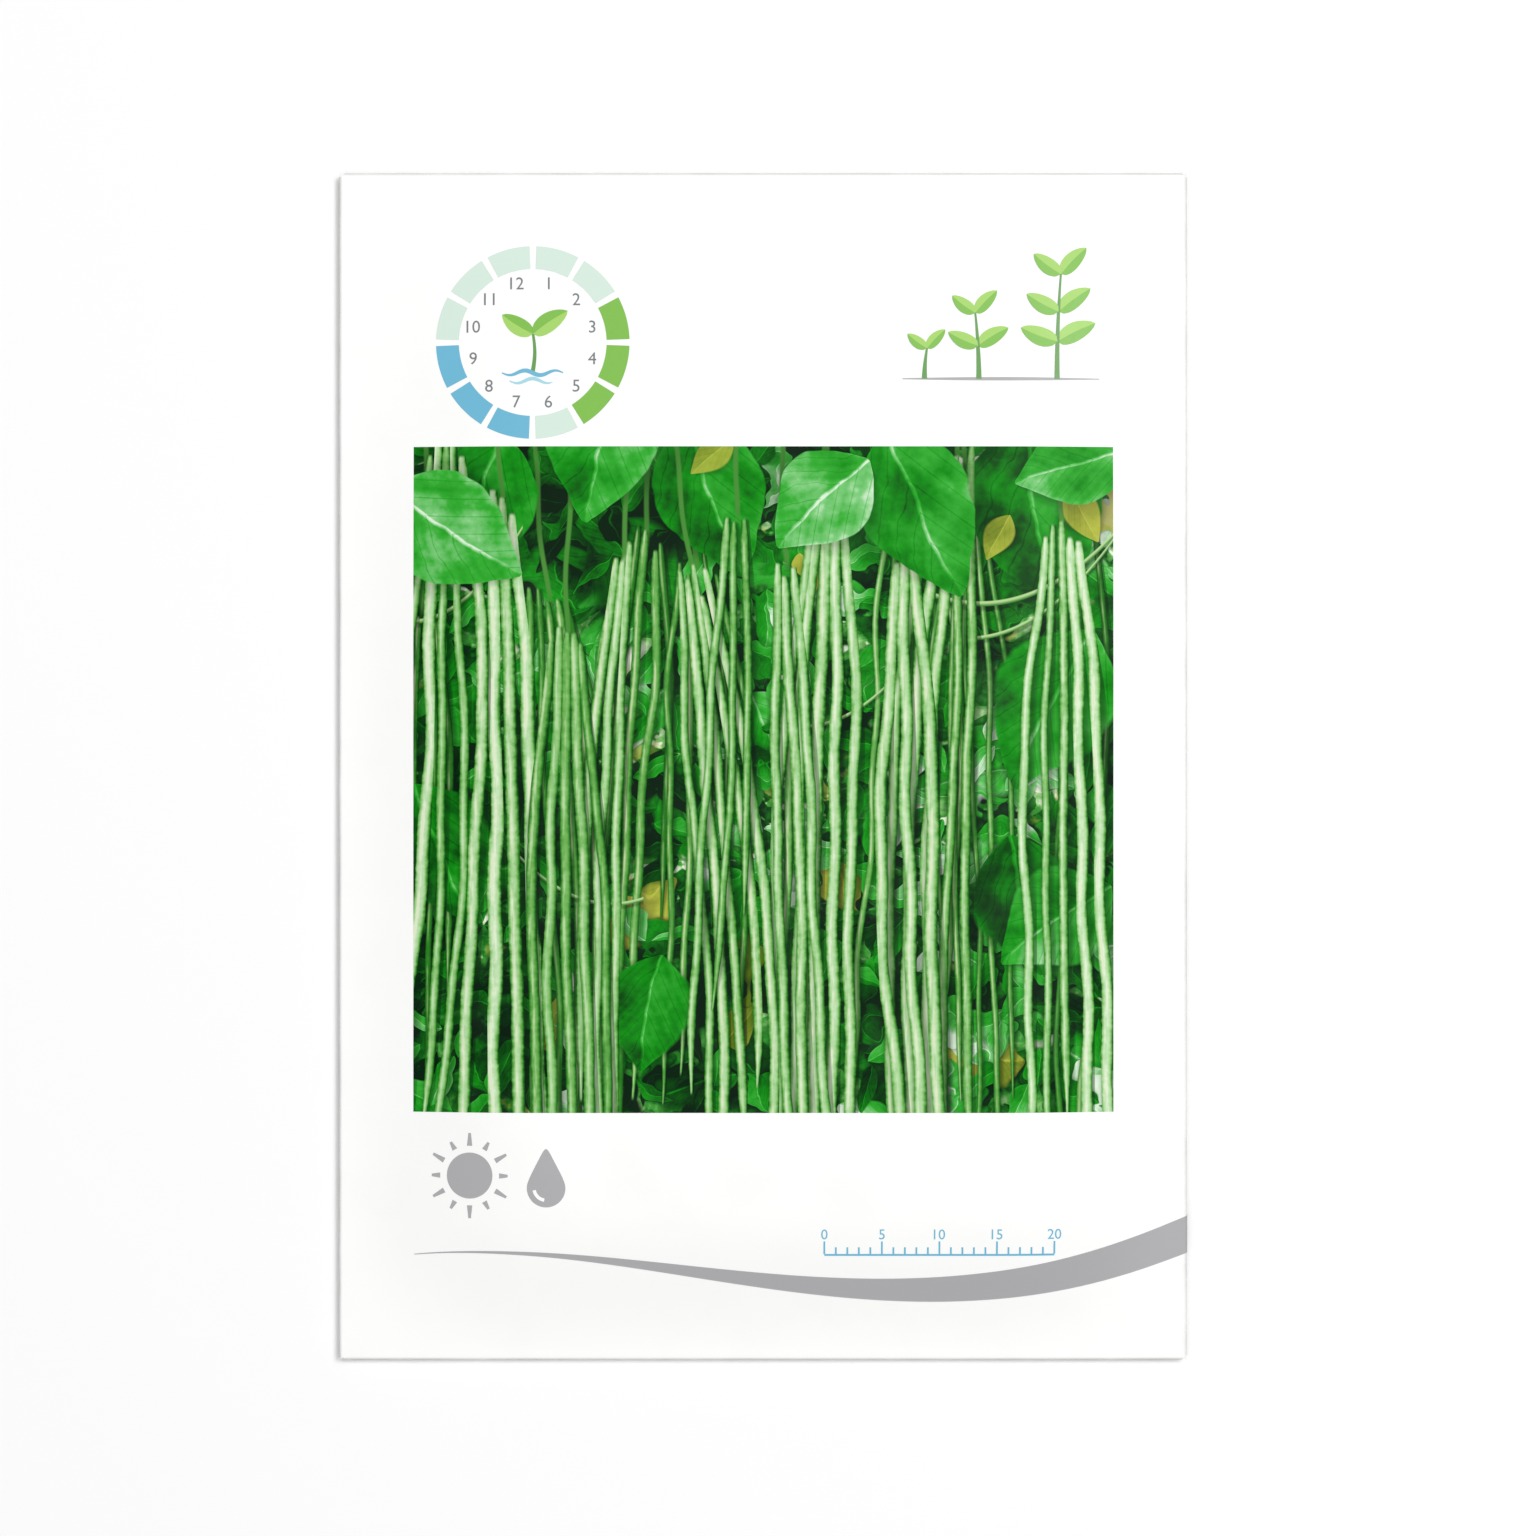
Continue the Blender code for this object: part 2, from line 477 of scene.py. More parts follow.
@dataclass(frozen=True)
class FloorFinish:
    """The plain pale floor of the studio."""

    tone: Colour = (0.95, 0.95, 0.95)
    shade: Colour = (0.9, 0.9, 0.9)
    roughness: float = 0.9
    gloss: float = 0.1

    def build(self) -> Material:
        """Makes the material.

        Returns:
            The material.
        """
        sketch = MaterialSketch("studio_floor")
        x, y, _ = sketch.place()
        shade = sketch.noise(sketch.vector(x, y), 0.004, detail=1.0)
        colour = sketch.mixed(shade * 0.1, self.tone, self.shade)
        return sketch.done(Base_Color=colour, Roughness=self.roughness, Specular_IOR_Level=self.gloss)


# The picture on the front, drawn by its shader. Its lengths are in millimetres of print.

DEEP_SHADE = linear(0, 26, 8)
STALK_TONE = linear(72, 138, 54)
SUNLIT = linear(214, 214, 176)
YELLOWED = linear(196, 188, 72)
YELLOW_SHADE = linear(96, 124, 20)
TENDRIL_TONE = linear(176, 212, 146)
POD_TONES = (
    (0.0, linear(4, 60, 8)),
    (0.22, linear(40, 124, 30)),
    (0.42, linear(108, 174, 84)),
    (0.62, linear(164, 208, 146)),
    (0.8, linear(190, 222, 176)),
    (1.0, linear(224, 242, 214)),
)
LEAF_TONES = (
    (0.0, linear(0, 30, 8)),
    (0.22, linear(2, 76, 8)),
    (0.45, linear(10, 138, 14)),
    (0.66, linear(52, 170, 50)),
    (0.84, linear(124, 200, 122)),
    (1.0, linear(216, 238, 212)),
)
UNDERGROWTH_TONES = (
    (0.0, linear(0, 24, 8)),
    (0.3, linear(1, 52, 10)),
    (0.52, linear(12, 108, 16)),
    (0.7, linear(62, 150, 54)),
    (0.84, linear(140, 196, 118)),
    (1.0, linear(228, 240, 214)),
)


@dataclass(frozen=True)
class PictureBounds:
    """Where the printed picture lies on the front, in millimetres from its middle."""

    left: float = -41.1
    right: float = 41.2
    bottom: float = -40.6
    top: float = 37.6
    strips: int = 8

    def borders(self) -> list[float]:
        """The upright lines between the strips that it is printed in, with its two sides."""
        return [self.left + (self.right - self.left) * i / self.strips for i in range(self.strips + 1)]


def number_name(field_name: str) -> str:
    """The name of the group input that a motif's field fills."""
    return field_name.replace("_", " ").title()


class MotifSketch(GroupSketch):
    """A node group that draws one motif of the picture over what is behind it."""

    def __init__(self, name: str, kind: type) -> None:
        """Starts the group.

        Args:
            name: The group's name.
            kind: The motif's class, which gets an input for each of its fields.
        """
        carried = {"Behind": "Color", "Across": "Float", "Up": "Float"}
        numbers = ("Streak", "Mottle", "Wander", *(number_name(item.name) for item in fields(kind)))
        outputs = {"Colour": "Color", "Across": "Float", "Up": "Float"}
        super().__init__(name, carried | dict.fromkeys(numbers, "Float"), outputs)

    def finish(self, colour: Wire) -> Tree:
        """Ends the group with that colour.

        The place that it hands on waits for its colour, so that a renderer works the motifs out one after
        another and never holds many of them half done. What that adds to the place is too small to count.

        Args:
            colour: The motif's colour, over what is behind it.

        Returns:
            The group.
        """
        wait = self.parts("Color", colour)[0] * 1e-7
        across, up = self.given("Across") + wait, self.given("Up") + wait
        return self.give(Colour=colour, Across=across, Up=up)


@dataclass(frozen=True)
class PodCluster:
    """Some pods that hang from one stalk."""

    hang_x: float
    hang_y: float
    length: float
    drift: float
    bow: float
    spacing: float
    pods: float
    half_width: float
    tone: float
    draw: float

    @staticmethod
    def group() -> Tree:
        """Makes the node group that draws a cluster.

        Returns:
            The group.
        """
        sketch = MotifSketch("pod_cluster", PodCluster)
        given = sketch.given
        below = given("Hang Y") - given("Up")
        share = below / given("Length")
        middle = given("Hang X") + given("Drift") * share + given("Bow") * (share * pi).sine()
        spacing = given("Spacing") * (share.rise(-0.02, 0.3) * 0.62 + 0.38)
        off_middle = given("Across") - middle
        number = (off_middle / spacing).nearest()
        first, second, third = sketch.chance(number, given("Draw"))
        kink = (below * 0.31 + third * 6.3).sine() * 0.12
        sway = ((below * 0.085 + first * 6.3).sine() * (second - 0.5) * 0.6 + kink * first) * spacing
        offset = off_middle - number * spacing + sway
        start = below - second * 4.0
        left_over = given("Length") * (first * 0.5 + 0.62) - below
        beads = (below * 1.15 + third * 30.0).sine() * 0.04 + given("Mottle") * 0.2 + 1.0
        ends = (start.rise(-0.4, 2.6) * 0.5 + 0.5) * (left_over.rise(0.0, 9.0) * 0.7 + 0.3)
        round_about = offset / (given("Half Width") * (third * 0.4 + 0.8) * beads * ends)
        inside = start.rise(0.0, 0.5) * left_over.rise(0.0, 0.7) * number.size().under(given("Pods") * 0.5)
        cover = round_about.size().rise(1.06, 0.84) * inside
        shadow = (round_about - 0.5).size().rise(2.4, 0.7) * inside
        stalk = (off_middle - (below * 0.35).sine() * 0.25).size().rise(0.4, 0.15) * below.rise(4.0, 1.5)
        facing = (1.0 - round_about * round_about).kept()
        gloss = (round_about + 0.28).size().rise(0.45, 0.0) * given("Streak").rise(-0.12, 0.1)
        form = facing * 0.56 + 0.06 - round_about * 0.12 + gloss * 0.22
        lit = form + given("Mottle") * 0.3 + given("Streak") * 0.3
        value = lit * (third * 0.36 + given("Tone")) + (first - 0.5) * 0.2
        pod = sketch.mixed(third * gloss * 0.6, sketch.ramp(value, POD_TONES), SUNLIT)
        shaded = sketch.mixed(shadow * 0.6, given("Behind"), DEEP_SHADE)
        return sketch.finish(sketch.mixed(cover, sketch.mixed(stalk, shaded, STALK_TONE), pod))

    def reach(self) -> Flat:
        """How far it spreads across the picture.

        Returns:
            Its left and right end.
        """
        shares = [i / 10 for i in range(-5, 13)]
        middles = [self.hang_x + self.drift * s + self.bow * sin(pi * s) for s in shares]
        half = (self.pods / 2 + 0.4) * self.spacing + 3 * self.half_width
        return min(middles) - half, max(middles) + half


@dataclass(frozen=True)
class Leaflet:
    """One leaflet of a bean leaf. Its angle is in degrees from +X."""

    base_x: float
    base_y: float
    angle: float
    length: float
    width: float
    tone: float
    blur: float = 0.03
    yellow: float = 0.0

    @staticmethod
    def group() -> Tree:
        """Makes the node group that draws a leaflet.

        Returns:
            The group.
        """
        sketch = MotifSketch("leaflet", Leaflet)
        given = sketch.given
        east = given("Across") - given("Base X")
        north = given("Up") - given("Base Y")
        cosine, sine = given("Angle").cosine(), given("Angle").sine()
        along = (east * cosine + north * sine) / given("Length")
        across = (north * cosine - east * sine) / given("Width") + given("Wander") * 0.3
        bend = across + along * (1.0 - along) * 0.3
        inner = along.kept()
        room = inner * (1.0 - inner) * (2.0 - inner) * 2.6
        side = bend.size() / (room + 0.02)
        cover = ((1.0 - side) / given("Blur") + 0.5).kept() * room.over(0.02)
        rib = bend.size().rise(0.05, 0.015) * along.rise(1.0, 0.7)
        vein_run = (along * 5.0 - bend.size() * 2.6 + given("Wander") * 0.8).fraction()
        vein = (vein_run - 0.5).size().rise(0.06, 0.0)
        quilt = (vein_run * pi).sine() * 0.07
        value = given("Tone") + bend.rise(-0.02, 0.02) * 0.13 + quilt + given("Wander") * 0.9
        lined = value + rib * 0.22 - vein * 0.1 + side.rise(0.8, 1.0) * 0.06 + given("Mottle") * 0.2
        fading = sketch.mixed(lined.rise(0.0, 0.75), YELLOW_SHADE, YELLOWED)
        leaf = sketch.mixed(given("Yellow"), sketch.ramp(lined, LEAF_TONES), fading)
        shaded = sketch.mixed(side.rise(1.7, 0.8) * room.over(0.02) * 0.5, given("Behind"), DEEP_SHADE)
        return sketch.finish(sketch.mixed(cover, shaded, leaf))

    def reach(self) -> Flat:
        """How far it spreads across the picture."""
        tip = self.base_x + self.length * cos(radians(self.angle))
        return min(self.base_x, tip) - 2 * self.width, max(self.base_x, tip) + 2 * self.width


@dataclass(frozen=True)
class LeafLayer:
    """Small leaflets all over the picture, one to each square of a slanted grid. The slant is in radians."""

    size: float
    slant: float
    tone: float
    blur: float
    draw: float

    @staticmethod
    def group(leaflet: Tree) -> Tree:
        """Makes the node group that draws a layer.

        Args:
            leaflet: The leaflet's own group, which draws each one.

        Returns:
            The group.
        """
        sketch = MotifSketch("leaf_layer", LeafLayer)
        given = sketch.given
        size = given("Size")
        cosine, sine = given("Slant").cosine(), given("Slant").sine()
        east = (given("Across") * cosine + given("Up") * sine) / size + given("Wander") * 1.6
        north = (given("Up") * cosine - given("Across") * sine) / size
        column, row = east.nearest(), north.nearest()
        first, second, third = sketch.chance(column + given("Draw"), row)
        angle = first * (2 * pi)
        thin_wood = sketch.noise(sketch.vector(given("Across"), given("Up")), 0.055, 1.0) - 0.53
        glade = thin_wood + given("Across") * 0.0016
        sunlit = third.over(0.9) * glade.rise(-0.04, 0.04) * 0.4
        placed = sketch.group(
            leaflet,
            **{name: given(name) for name in ("Behind", "Streak", "Mottle", "Wander", "Blur")},
            Across=(east - column) * size,
            Up=(north - row) * size,
            Base_X=angle.cosine() * size * -0.5,
            Base_Y=angle.sine() * size * -0.5,
            Angle=angle,
            Length=size,
            Width=size * (second * 0.16 + 0.17),
            Tone=(given("Tone") + (third - 0.5) * 0.6 + glade * 1.7 + sunlit).lesser(0.8, 0.15),
            Yellow=second.over(0.975) * 0.8,
        )
        return sketch.finish(sketch.out(placed, "Colour"))

    def reach(self) -> Flat:
        """How far it spreads across the picture: over all of it."""
        return -math.inf, math.inf


@dataclass(frozen=True)
class Tendril:
    """A thin stem that hangs in an arc across the picture."""

    start_x: float
    start_y: float
    run: float
    climb: float
    sag: float
    half_width: float

    @staticmethod
    def group() -> Tree:
        """Makes the node group that draws a tendril.

        Returns:
            The group.
        """
        sketch = MotifSketch("tendril", Tendril)
        given = sketch.given
        share = (given("Across") - given("Start X")) / given("Run")
        arc = share * (1.0 - share) * given("Sag") * 4.0
        off_line = (given("Up") - given("Start Y") - given("Climb") * share + arc) / given("Half Width")
        ends = (share - 0.5).size().under(0.5)
        cover = off_line.size().rise(1.2, 0.7) * ends
        shadow = (off_line + 1.4).size().rise(2.2, 0.6) * ends
        stem = sketch.mixed(off_line.rise(-0.8, 0.5), STALK_TONE, TENDRIL_TONE)
        shaded = sketch.mixed(shadow * 0.5, given("Behind"), DEEP_SHADE)
        return sketch.finish(sketch.mixed(cover, shaded, stem))

    def reach(self) -> Flat:
        """How far it spreads across the picture."""
        return min(self.start_x, self.start_x + self.run), max(self.start_x, self.start_x + self.run)


Motif = PodCluster | Leaflet | LeafLayer | Tendril


@dataclass(frozen=True)
class ClusterKind:
    """The clusters at one depth: where they hang, and the ranges that each one's numbers are drawn from."""

    stations: tuple[float, ...]
    stray: float
    # How far over the picture's top they may start, how far down, and how much they crowd at the top
    start: float
    drop: float
    crowding: float
    shuffled: bool
    # What sets the first one's pods apart from those of other clusters
    number: float
    length: Flat
    drift: float
    bow: float
    spacing: Flat
    pods: tuple[int, ...]
    half_width: Flat
    tone: Flat

    def clusters(self, draw: random.Random, top: float) -> list[PodCluster]:
        """Draws the clusters.

        Args:
            draw: The picture's random draws.
            top: How high the picture's top is.

        Returns:
            The clusters, from the back to the front.
        """
        order = list(range(len(self.stations)))
        if self.shuffled:
            draw.shuffle(order)
        return [
            PodCluster(
                hang_x=self.stations[index] + draw.uniform(-self.stray, self.stray),
                hang_y=top + self.start - draw.uniform(0, 1) ** self.crowding * self.drop,
                length=draw.uniform(*self.length),
                drift=draw.uniform(-self.drift, self.drift),
                bow=draw.uniform(-self.bow, self.bow),
                spacing=draw.uniform(*self.spacing),
                pods=draw.choice(self.pods),
                half_width=draw.uniform(*self.half_width),
                tone=draw.uniform(*self.tone),
                draw=index + self.number,
            )
            for index in order
        ]


@dataclass(frozen=True)
class PictureFinish:
    """The full-colour picture of hanging pods, an arrangement made up for this packet."""

    bounds: PictureBounds = PictureBounds()
    draw: int = 23
    gloss: float = 0.04
    # Leaflets far back: how many, how much higher each one starts, and their tones
    blurred: int = 9
    blurred_pitch: float = 8.5
    blurred_tones: tuple[float, ...] = (0.08, 0.16, 0.26, 0.36, 0.48, 0.6)
    # Thin pods deep in the shade, and thick pale ones in front of them in bunches
    far: ClusterKind = ClusterKind(
        stations=(-38.1, -27.3, -16.5, -5.7, 5.1, 15.9, 26.7, 37.5),
        stray=3.0, start=0.0, drop=22.0, crowding=1.0, shuffled=False, number=0.5, length=(64, 96), drift=5,
        bow=2.5, spacing=(2.0, 3.0), pods=(3, 5, 5), half_width=(0.36, 0.5), tone=(0.3, 0.5),
    )
    near: ClusterKind = ClusterKind(
        stations=(-36.5, -31.0, -22.5, -17.0, -8.5, -3.0, 3.0, 8.0, 17.5, 23.5, 34.5),
        stray=1.2, start=2.0, drop=26.0, crowding=1.4, shuffled=True, number=20.5, length=(76, 118), drift=6,
        bow=3.0, spacing=(1.7, 2.8), pods=(3, 3, 5, 5), half_width=(0.56, 0.74), tone=(0.68, 0.92),
    )
    layers: tuple[LeafLayer, ...] = (
        LeafLayer(10.5, 0.4, 0.2, 0.3, 3.0),
        LeafLayer(7.6, -0.5, 0.3, 0.12, 40.0),
        LeafLayer(5.6, 1.1, 0.36, 0.06, 90.0),
    )
    leaves_behind: tuple[Leaflet, ...] = (
        Leaflet(-30.0, 39.0, -112.0, 19.0, 7.0, 0.26),
        Leaflet(-9.0, 41.0, -70.0, 20.0, 6.4, 0.34),
        Leaflet(31.0, 42.0, -82.0, 24.0, 8.2, 0.24),
        Leaflet(36.0, 33.0, -62.0, 7.5, 2.1, 0.42, 0.12, 0.8),
        Leaflet(29.0, 29.5, -118.0, 6.0, 1.7, 0.34, 0.16, 0.75),
        Leaflet(-3.5, 38.5, -140.0, 6.5, 1.8, 0.36, 0.16, 0.65),
        Leaflet(39.0, 16.0, -118.0, 21.0, 7.2, 0.36, 0.08),
        Leaflet(29.0, -8.0, -76.0, 17.0, 6.0, 0.2, 0.1),
        Leaflet(41.0, -14.0, -146.0, 16.0, 5.8, 0.44, 0.08),
        Leaflet(-41.0, -2.0, -66.0, 18.0, 6.2, 0.22, 0.1),
        Leaflet(-12.0, -22.0, -100.0, 14.0, 5.0, 0.3, 0.14),
    )
    tendrils: tuple[Tendril, ...] = (
        Tendril(19.0, 20.5, 22.5, 7.0, 4.2, 0.3),
        Tendril(24.0, 15.0, 17.5, 12.0, 3.0, 0.24),
        Tendril(-41.2, 17.0, 13.0, 11.0, 2.6, 0.26),
        Tendril(-30.0, -9.0, 16.0, -6.5, 3.0, 0.22),
        Tendril(2.0, 5.0, 14.0, 6.0, 2.4, 0.22),
    )
    leaves_in_front: tuple[Leaflet, ...] = (
        Leaflet(14.5, 40.0, -66.0, 22.0, 6.6, 0.36),
        Leaflet(12.5, 36.0, -137.0, 15.0, 5.6, 0.62),
        Leaflet(-16.5, 46.0, -104.0, 18.0, 6.6, 0.42),
        Leaflet(-44.0, 33.0, -34.0, 19.0, 6.4, 0.58),
        Leaflet(43.0, 37.0, -164.0, 14.0, 4.8, 0.48),
    )

    def _blurred_leaves(self, draw: random.Random) -> list[Leaflet]:
        """Leaflets far back, out of focus.

        Args:
            draw: The picture's random draws.

        Returns:
            The leaflets.
        """
        return [
            Leaflet(
                base_x=self.bounds.left + draw.uniform(0, 82),
                base_y=self.bounds.bottom + (index + draw.random()) * self.blurred_pitch,
                angle=draw.uniform(-170, -10),
                length=draw.uniform(9, 17),
                width=draw.uniform(3.2, 6.0),
                tone=draw.choice(self.blurred_tones),
                blur=draw.uniform(0.1, 0.35),
            )
            for index in range(self.blurred)
        ]

    def build(self, effects: SharedEffects) -> list[Material]:
        """Makes the picture's materials, one for each upright strip, so that each draws only what crosses it.

        Args:
            effects: The shared node groups.

        Returns:
            The materials, from left to right.
        """
        draw = random.Random(self.draw)
        motifs = [
            self.layers[0],
            *self._blurred_leaves(draw),
            *self.layers[1:],
            *self.far.clusters(draw, self.bounds.top),
            *self.leaves_behind,
            *self.tendrils,
            *self.near.clusters(draw, self.bounds.top),
            *self.leaves_in_front,
        ]
        leaflet = Leaflet.group()
        groups = {
            PodCluster: PodCluster.group(),
            Leaflet: leaflet,
            LeafLayer: LeafLayer.group(leaflet),
            Tendril: Tendril.group(),
        }
        borders = self.bounds.borders()
        made = []
        for number, (low, high) in enumerate(zip(borders, borders[1:]), start=1):
            near = [motif for motif in motifs if motif.reach()[0] < high and motif.reach()[1] > low]
            made.append(self._strip(MaterialSketch(f"printed_picture_{number}"), effects, groups, near))
        return made

    def _strip(
        self,
        sketch: MaterialSketch,
        effects: SharedEffects,
        groups: Mapping[type, Tree],
        motifs: Sequence[Motif],
    ) -> Material:
        """Draws one strip.

        Args:
            sketch: The strip's material.
            effects: The shared node groups.
            groups: The group that draws each kind of motif.
            motifs: The motifs that cross the strip, from the back to the front.

        Returns:
            The material.
        """
        across, up, _ = sketch.place()
        at = sketch.vector(across, up)
        carried = {
            "Across": across,
            "Up": up,
            "Streak": sketch.noise(sketch.vector(across * 1.7, up * 0.2), 1.0) - 0.5,
            "Mottle": sketch.noise(at, 1.3) - 0.5,
            "Wander": sketch.noise(at, 0.17) - 0.5,
        }
        carried["Behind"] = self._undergrowth(sketch, carried)
        for motif in motifs:
            numbers = {number_name(name): value for name, value in vars(motif).items()}
            if "Angle" in numbers:
                numbers["Angle"] = radians(numbers["Angle"])
            placed = sketch.node("ShaderNodeGroup", carried | numbers, node_tree=groups[type(motif)])
            carried |= zip(("Behind", "Across", "Up"), sketch.outs(placed, ("Colour", "Across", "Up")))
        return effects.inked(sketch, carried["Behind"], at, self.gloss)

    def _undergrowth(self, sketch: Sketch, carried: Mapping[str, Wire]) -> Wire:
        """The foliage behind the pods.

        Args:
            sketch: The picture's tree.
            carried: The place in the picture, and the soft variation that all motifs share.

        Returns:
            The colour of the foliage.
        """
        across, up, mottle, wander = (carried[name] for name in ("Across", "Up", "Mottle", "Wander"))
        bent = sketch.vector(across + wander * 7.0 + mottle * 0.6, up * 1.3 + wander * 5.0)
        tones = []
        for scale, weight in ((0.15, 0.62), (0.36, 0.38)):
            inputs = {"Vector": bent, "Scale": scale}
            cells = sketch.node("ShaderNodeTexVoronoi", inputs, voronoi_dimensions="2D")
            red = sketch.parts("Color", sketch.out(cells, "Color"))[0]
            tones.append((red - sketch.out(cells, "Distance") * 0.7) * weight)
        depth = sketch.noise(sketch.vector(across, up), 0.06, 1.0).rise(0.32, 0.6)
        gap = sketch.noise(bent, 0.42).rise(0.56, 0.66) * depth * up.rise(-36.0, -16.0)
        lit = (tones[0] + tones[1]) * 0.95 + mottle * 0.45 + depth * 0.28 + 0.03 + gap * 0.55
        yellow = wander.rise(0.08, 0.15) * lit.rise(0.45, 0.75)
        return sketch.mixed(yellow * 0.5, sketch.ramp(lit, UNDERGROWTH_TONES), YELLOWED)


# The folded sheet


@dataclass(frozen=True)
class SeedPlace:
    """Where one seed lies: the middle of it, and how it is turned about Z."""

    x: float
    y: float
    z: float
    turn: float


@dataclass(frozen=True)
class SeedField:
    """The loose layer of seeds, laid as the CAD model lays it."""

    columns: int = 5
    rows: int = 5
    pitch_x: float = 12.4 * MM
    pitch_y: float = 12.8 * MM
    stray_x: float = 0.6 * MM
    stray_y: float = 0.8 * MM
    middle_y: float = -20.4 * MM
    height: float = 2.5 * MM
    draw: int = 7

    def places(self) -> list[SeedPlace]:
        """Draws the seeds' places in the order that the CAD model draws them.

        Returns:
            The places.
        """
        draw = random.Random(self.draw)
        made = []
        for index in range(self.columns * self.rows):
            row, column = divmod(index, self.columns)
            x = (column - (self.columns - 1) / 2) * self.pitch_x
            x += draw.uniform(-self.stray_x, self.stray_x)
            y = self.middle_y + (row - (self.rows - 1) / 2) * self.pitch_y
            y += draw.uniform(-self.stray_y, self.stray_y)
            made.append(SeedPlace(x, y, self.height, draw.uniform(0, 2 * pi)))
        return made


def ramp(distance: Array, width: float) -> Array:
    """A smooth step from 0 at an edge to 1 at that width in from it."""
    share = np.clip(distance / width, 0.0, 1.0)
    return share * share * (3 - 2 * share)


def turned_under(length: Array, radius: float) -> tuple[Array, ...]:
    """How a strip turns under at a fold.

    Args:
        length: How far past its fold line each place is.
        radius: The fold's radius.

    Returns:
        How far out each place reaches, how deep it is, and how much of the pulls across and along the fold
        it takes.
    """
    angle = np.clip(length / radius, 0.0, pi)
    back = np.maximum(length - pi * radius, 0.0)
    on_front_half = angle < pi / 2
    sine = np.sin(angle)
    across = np.where(on_front_half, 1 - sine, 0.0)
    along = np.where(on_front_half, 1.0, sine)
    return radius * sine - back, radius * (1 - np.cos(angle)), across, along


@dataclass
class PacketSheet:
    """The packet's one sheet of paper, with the CAD model's sizes, and the relief that the seeds give it."""

    width: float = 100 * MM
    height: float = 140 * MM
    paper: float = 0.2 * MM
    pitch: float = 0.35 * MM
    seam_flap: float = 12 * MM
    bottom_flap: float = 12 * MM
    top_flap: float = 18 * MM
    seam_taper: float = 0.35
    closing_taper: float = 0.45
    back_stop: float = 3 * MM
    # The notches at the corners, and how far the edges are pulled out over the folds there
    notch: float = 0.15 * MM
    tip_reach: float = 0.05 * MM
    pull_reach: float = 1.4 * MM
    inner_room: float = 1.03
    # How far the seeds push the two panels apart, and how far in from each edge the paper takes to rise
    front_rise: float = 3.4 * MM
    back_drop: float = 1.0 * MM
    belly_lift: float = 0.08 * MM
    side_ramp: float = 22 * MM
    front_foot_ramp: float = 18 * MM
    back_foot_ramp: float = 22 * MM
    head_ramp: float = 58 * MM
    # How far the paper sinks between the seeds, and how far from a seed's middle it starts to
    front_sag: float = 0.5 * MM
    back_sag: float = 0.12 * MM
    bump_length: float = 5.6 * MM
    bump_width: float = 3.9 * MM
    # The creases at the side folds: their depth, how far in they are strongest, how wide their band is,
    # and how far in from the side, the foot and the head they take to start
    pucker: float = 0.07 * MM
    pucker_inset: float = 8 * MM
    pucker_band: float = 4.5 * MM
    pucker_starts: Three = (3 * MM, 20 * MM, 70 * MM)
    # Their waves: each one's length to a radian, its part of the side's shift and its share, and then the
    # shifts of the right and left sides
    pucker_waves: tuple[Three, ...] = ((1.9 * MM, 1.0, 0.6), (1.13 * MM, 3.1, 0.4))
    pucker_shifts: Flat = (1.7, 0.2)
    # How far the closing flaps' corners curl off the back
    flap_curl: float = 0.28 * MM
    curl_start: float = 26 * MM
    curl_reach: float = 14 * MM
    # The grid: its widest cell, its steps round a fold and near an edge, and the lines it has to have
    cell: float = 1.6 * MM
    fold_steps: int = 8
    edge_steps: tuple[float, ...] = (0.0, 0.15 * MM, 0.6 * MM, 1.2 * MM)
    marks_across: tuple[float, ...] = ()
    marks_up: tuple[float, ...] = ()
    seeds: list[SeedPlace] = field(default_factory=list)

    def __post_init__(self) -> None:
        """Works out the fold lines, the grid and the place of each grid point."""
        self.half_width = (self.width - self.paper) / 2
        self.half_height = (self.height - self.paper) / 2
        self.rim = self.paper / 2 + self.back_drop + 2 * self.pitch
        self.side_fold = self.pitch
        self.seam_fold = self.pitch / 2
        self.closing_fold = 1.5 * self.pitch
        self.left_line = -self.half_width + self.side_fold
        self.right_line = self.half_width - self.seam_fold
        self.bottom_line = -self.half_height + self.closing_fold
        self.top_line = self.half_height - self.closing_fold
        left = [self.left_line - s for s in self._strip(self.side_fold, self.width - self.back_stop)]
        right = [self.right_line + s for s in self._strip(self.seam_fold, self.seam_flap)]
        below = [self.bottom_line - s for s in self._strip(self.closing_fold, self.bottom_flap)]
        above = [self.top_line + s for s in self._strip(self.closing_fold, self.top_flap)]
        front_across = self._panel(self.left_line, self.right_line, self.marks_across)
        front_up = self._panel(self.bottom_line, self.top_line, self.marks_up)
        self.us = np.array(sorted(left) + front_across + right)
        self.vs = np.array(sorted(below) + front_up + above)
        grid = np.meshgrid(self.us, self.vs, indexing="ij")
        self.normals = self.normal(*grid)
        self.middles = self.middle(*grid)
        self.outers = self.middles + self.normals * self.paper / 2

    def _panel(self, low: float, high: float, marks: Iterable[float]) -> list[float]:
        """Grid lines across the front, no further apart than a cell.

        Args:
            low: The line at its one edge.
            high: The line at its other edge.
            marks: Where else there has to be a line.

        Returns:
            The lines.
        """
        stops = sorted({*(low + d for d in self.edge_steps), *(high - d for d in self.edge_steps), *marks})
        lines = []
        for start, end in zip(stops, stops[1:]):
            count = max(1, math.ceil((end - start) / self.cell))
            lines += [start + (end - start) * i / count for i in range(count)]
        return lines + [high]

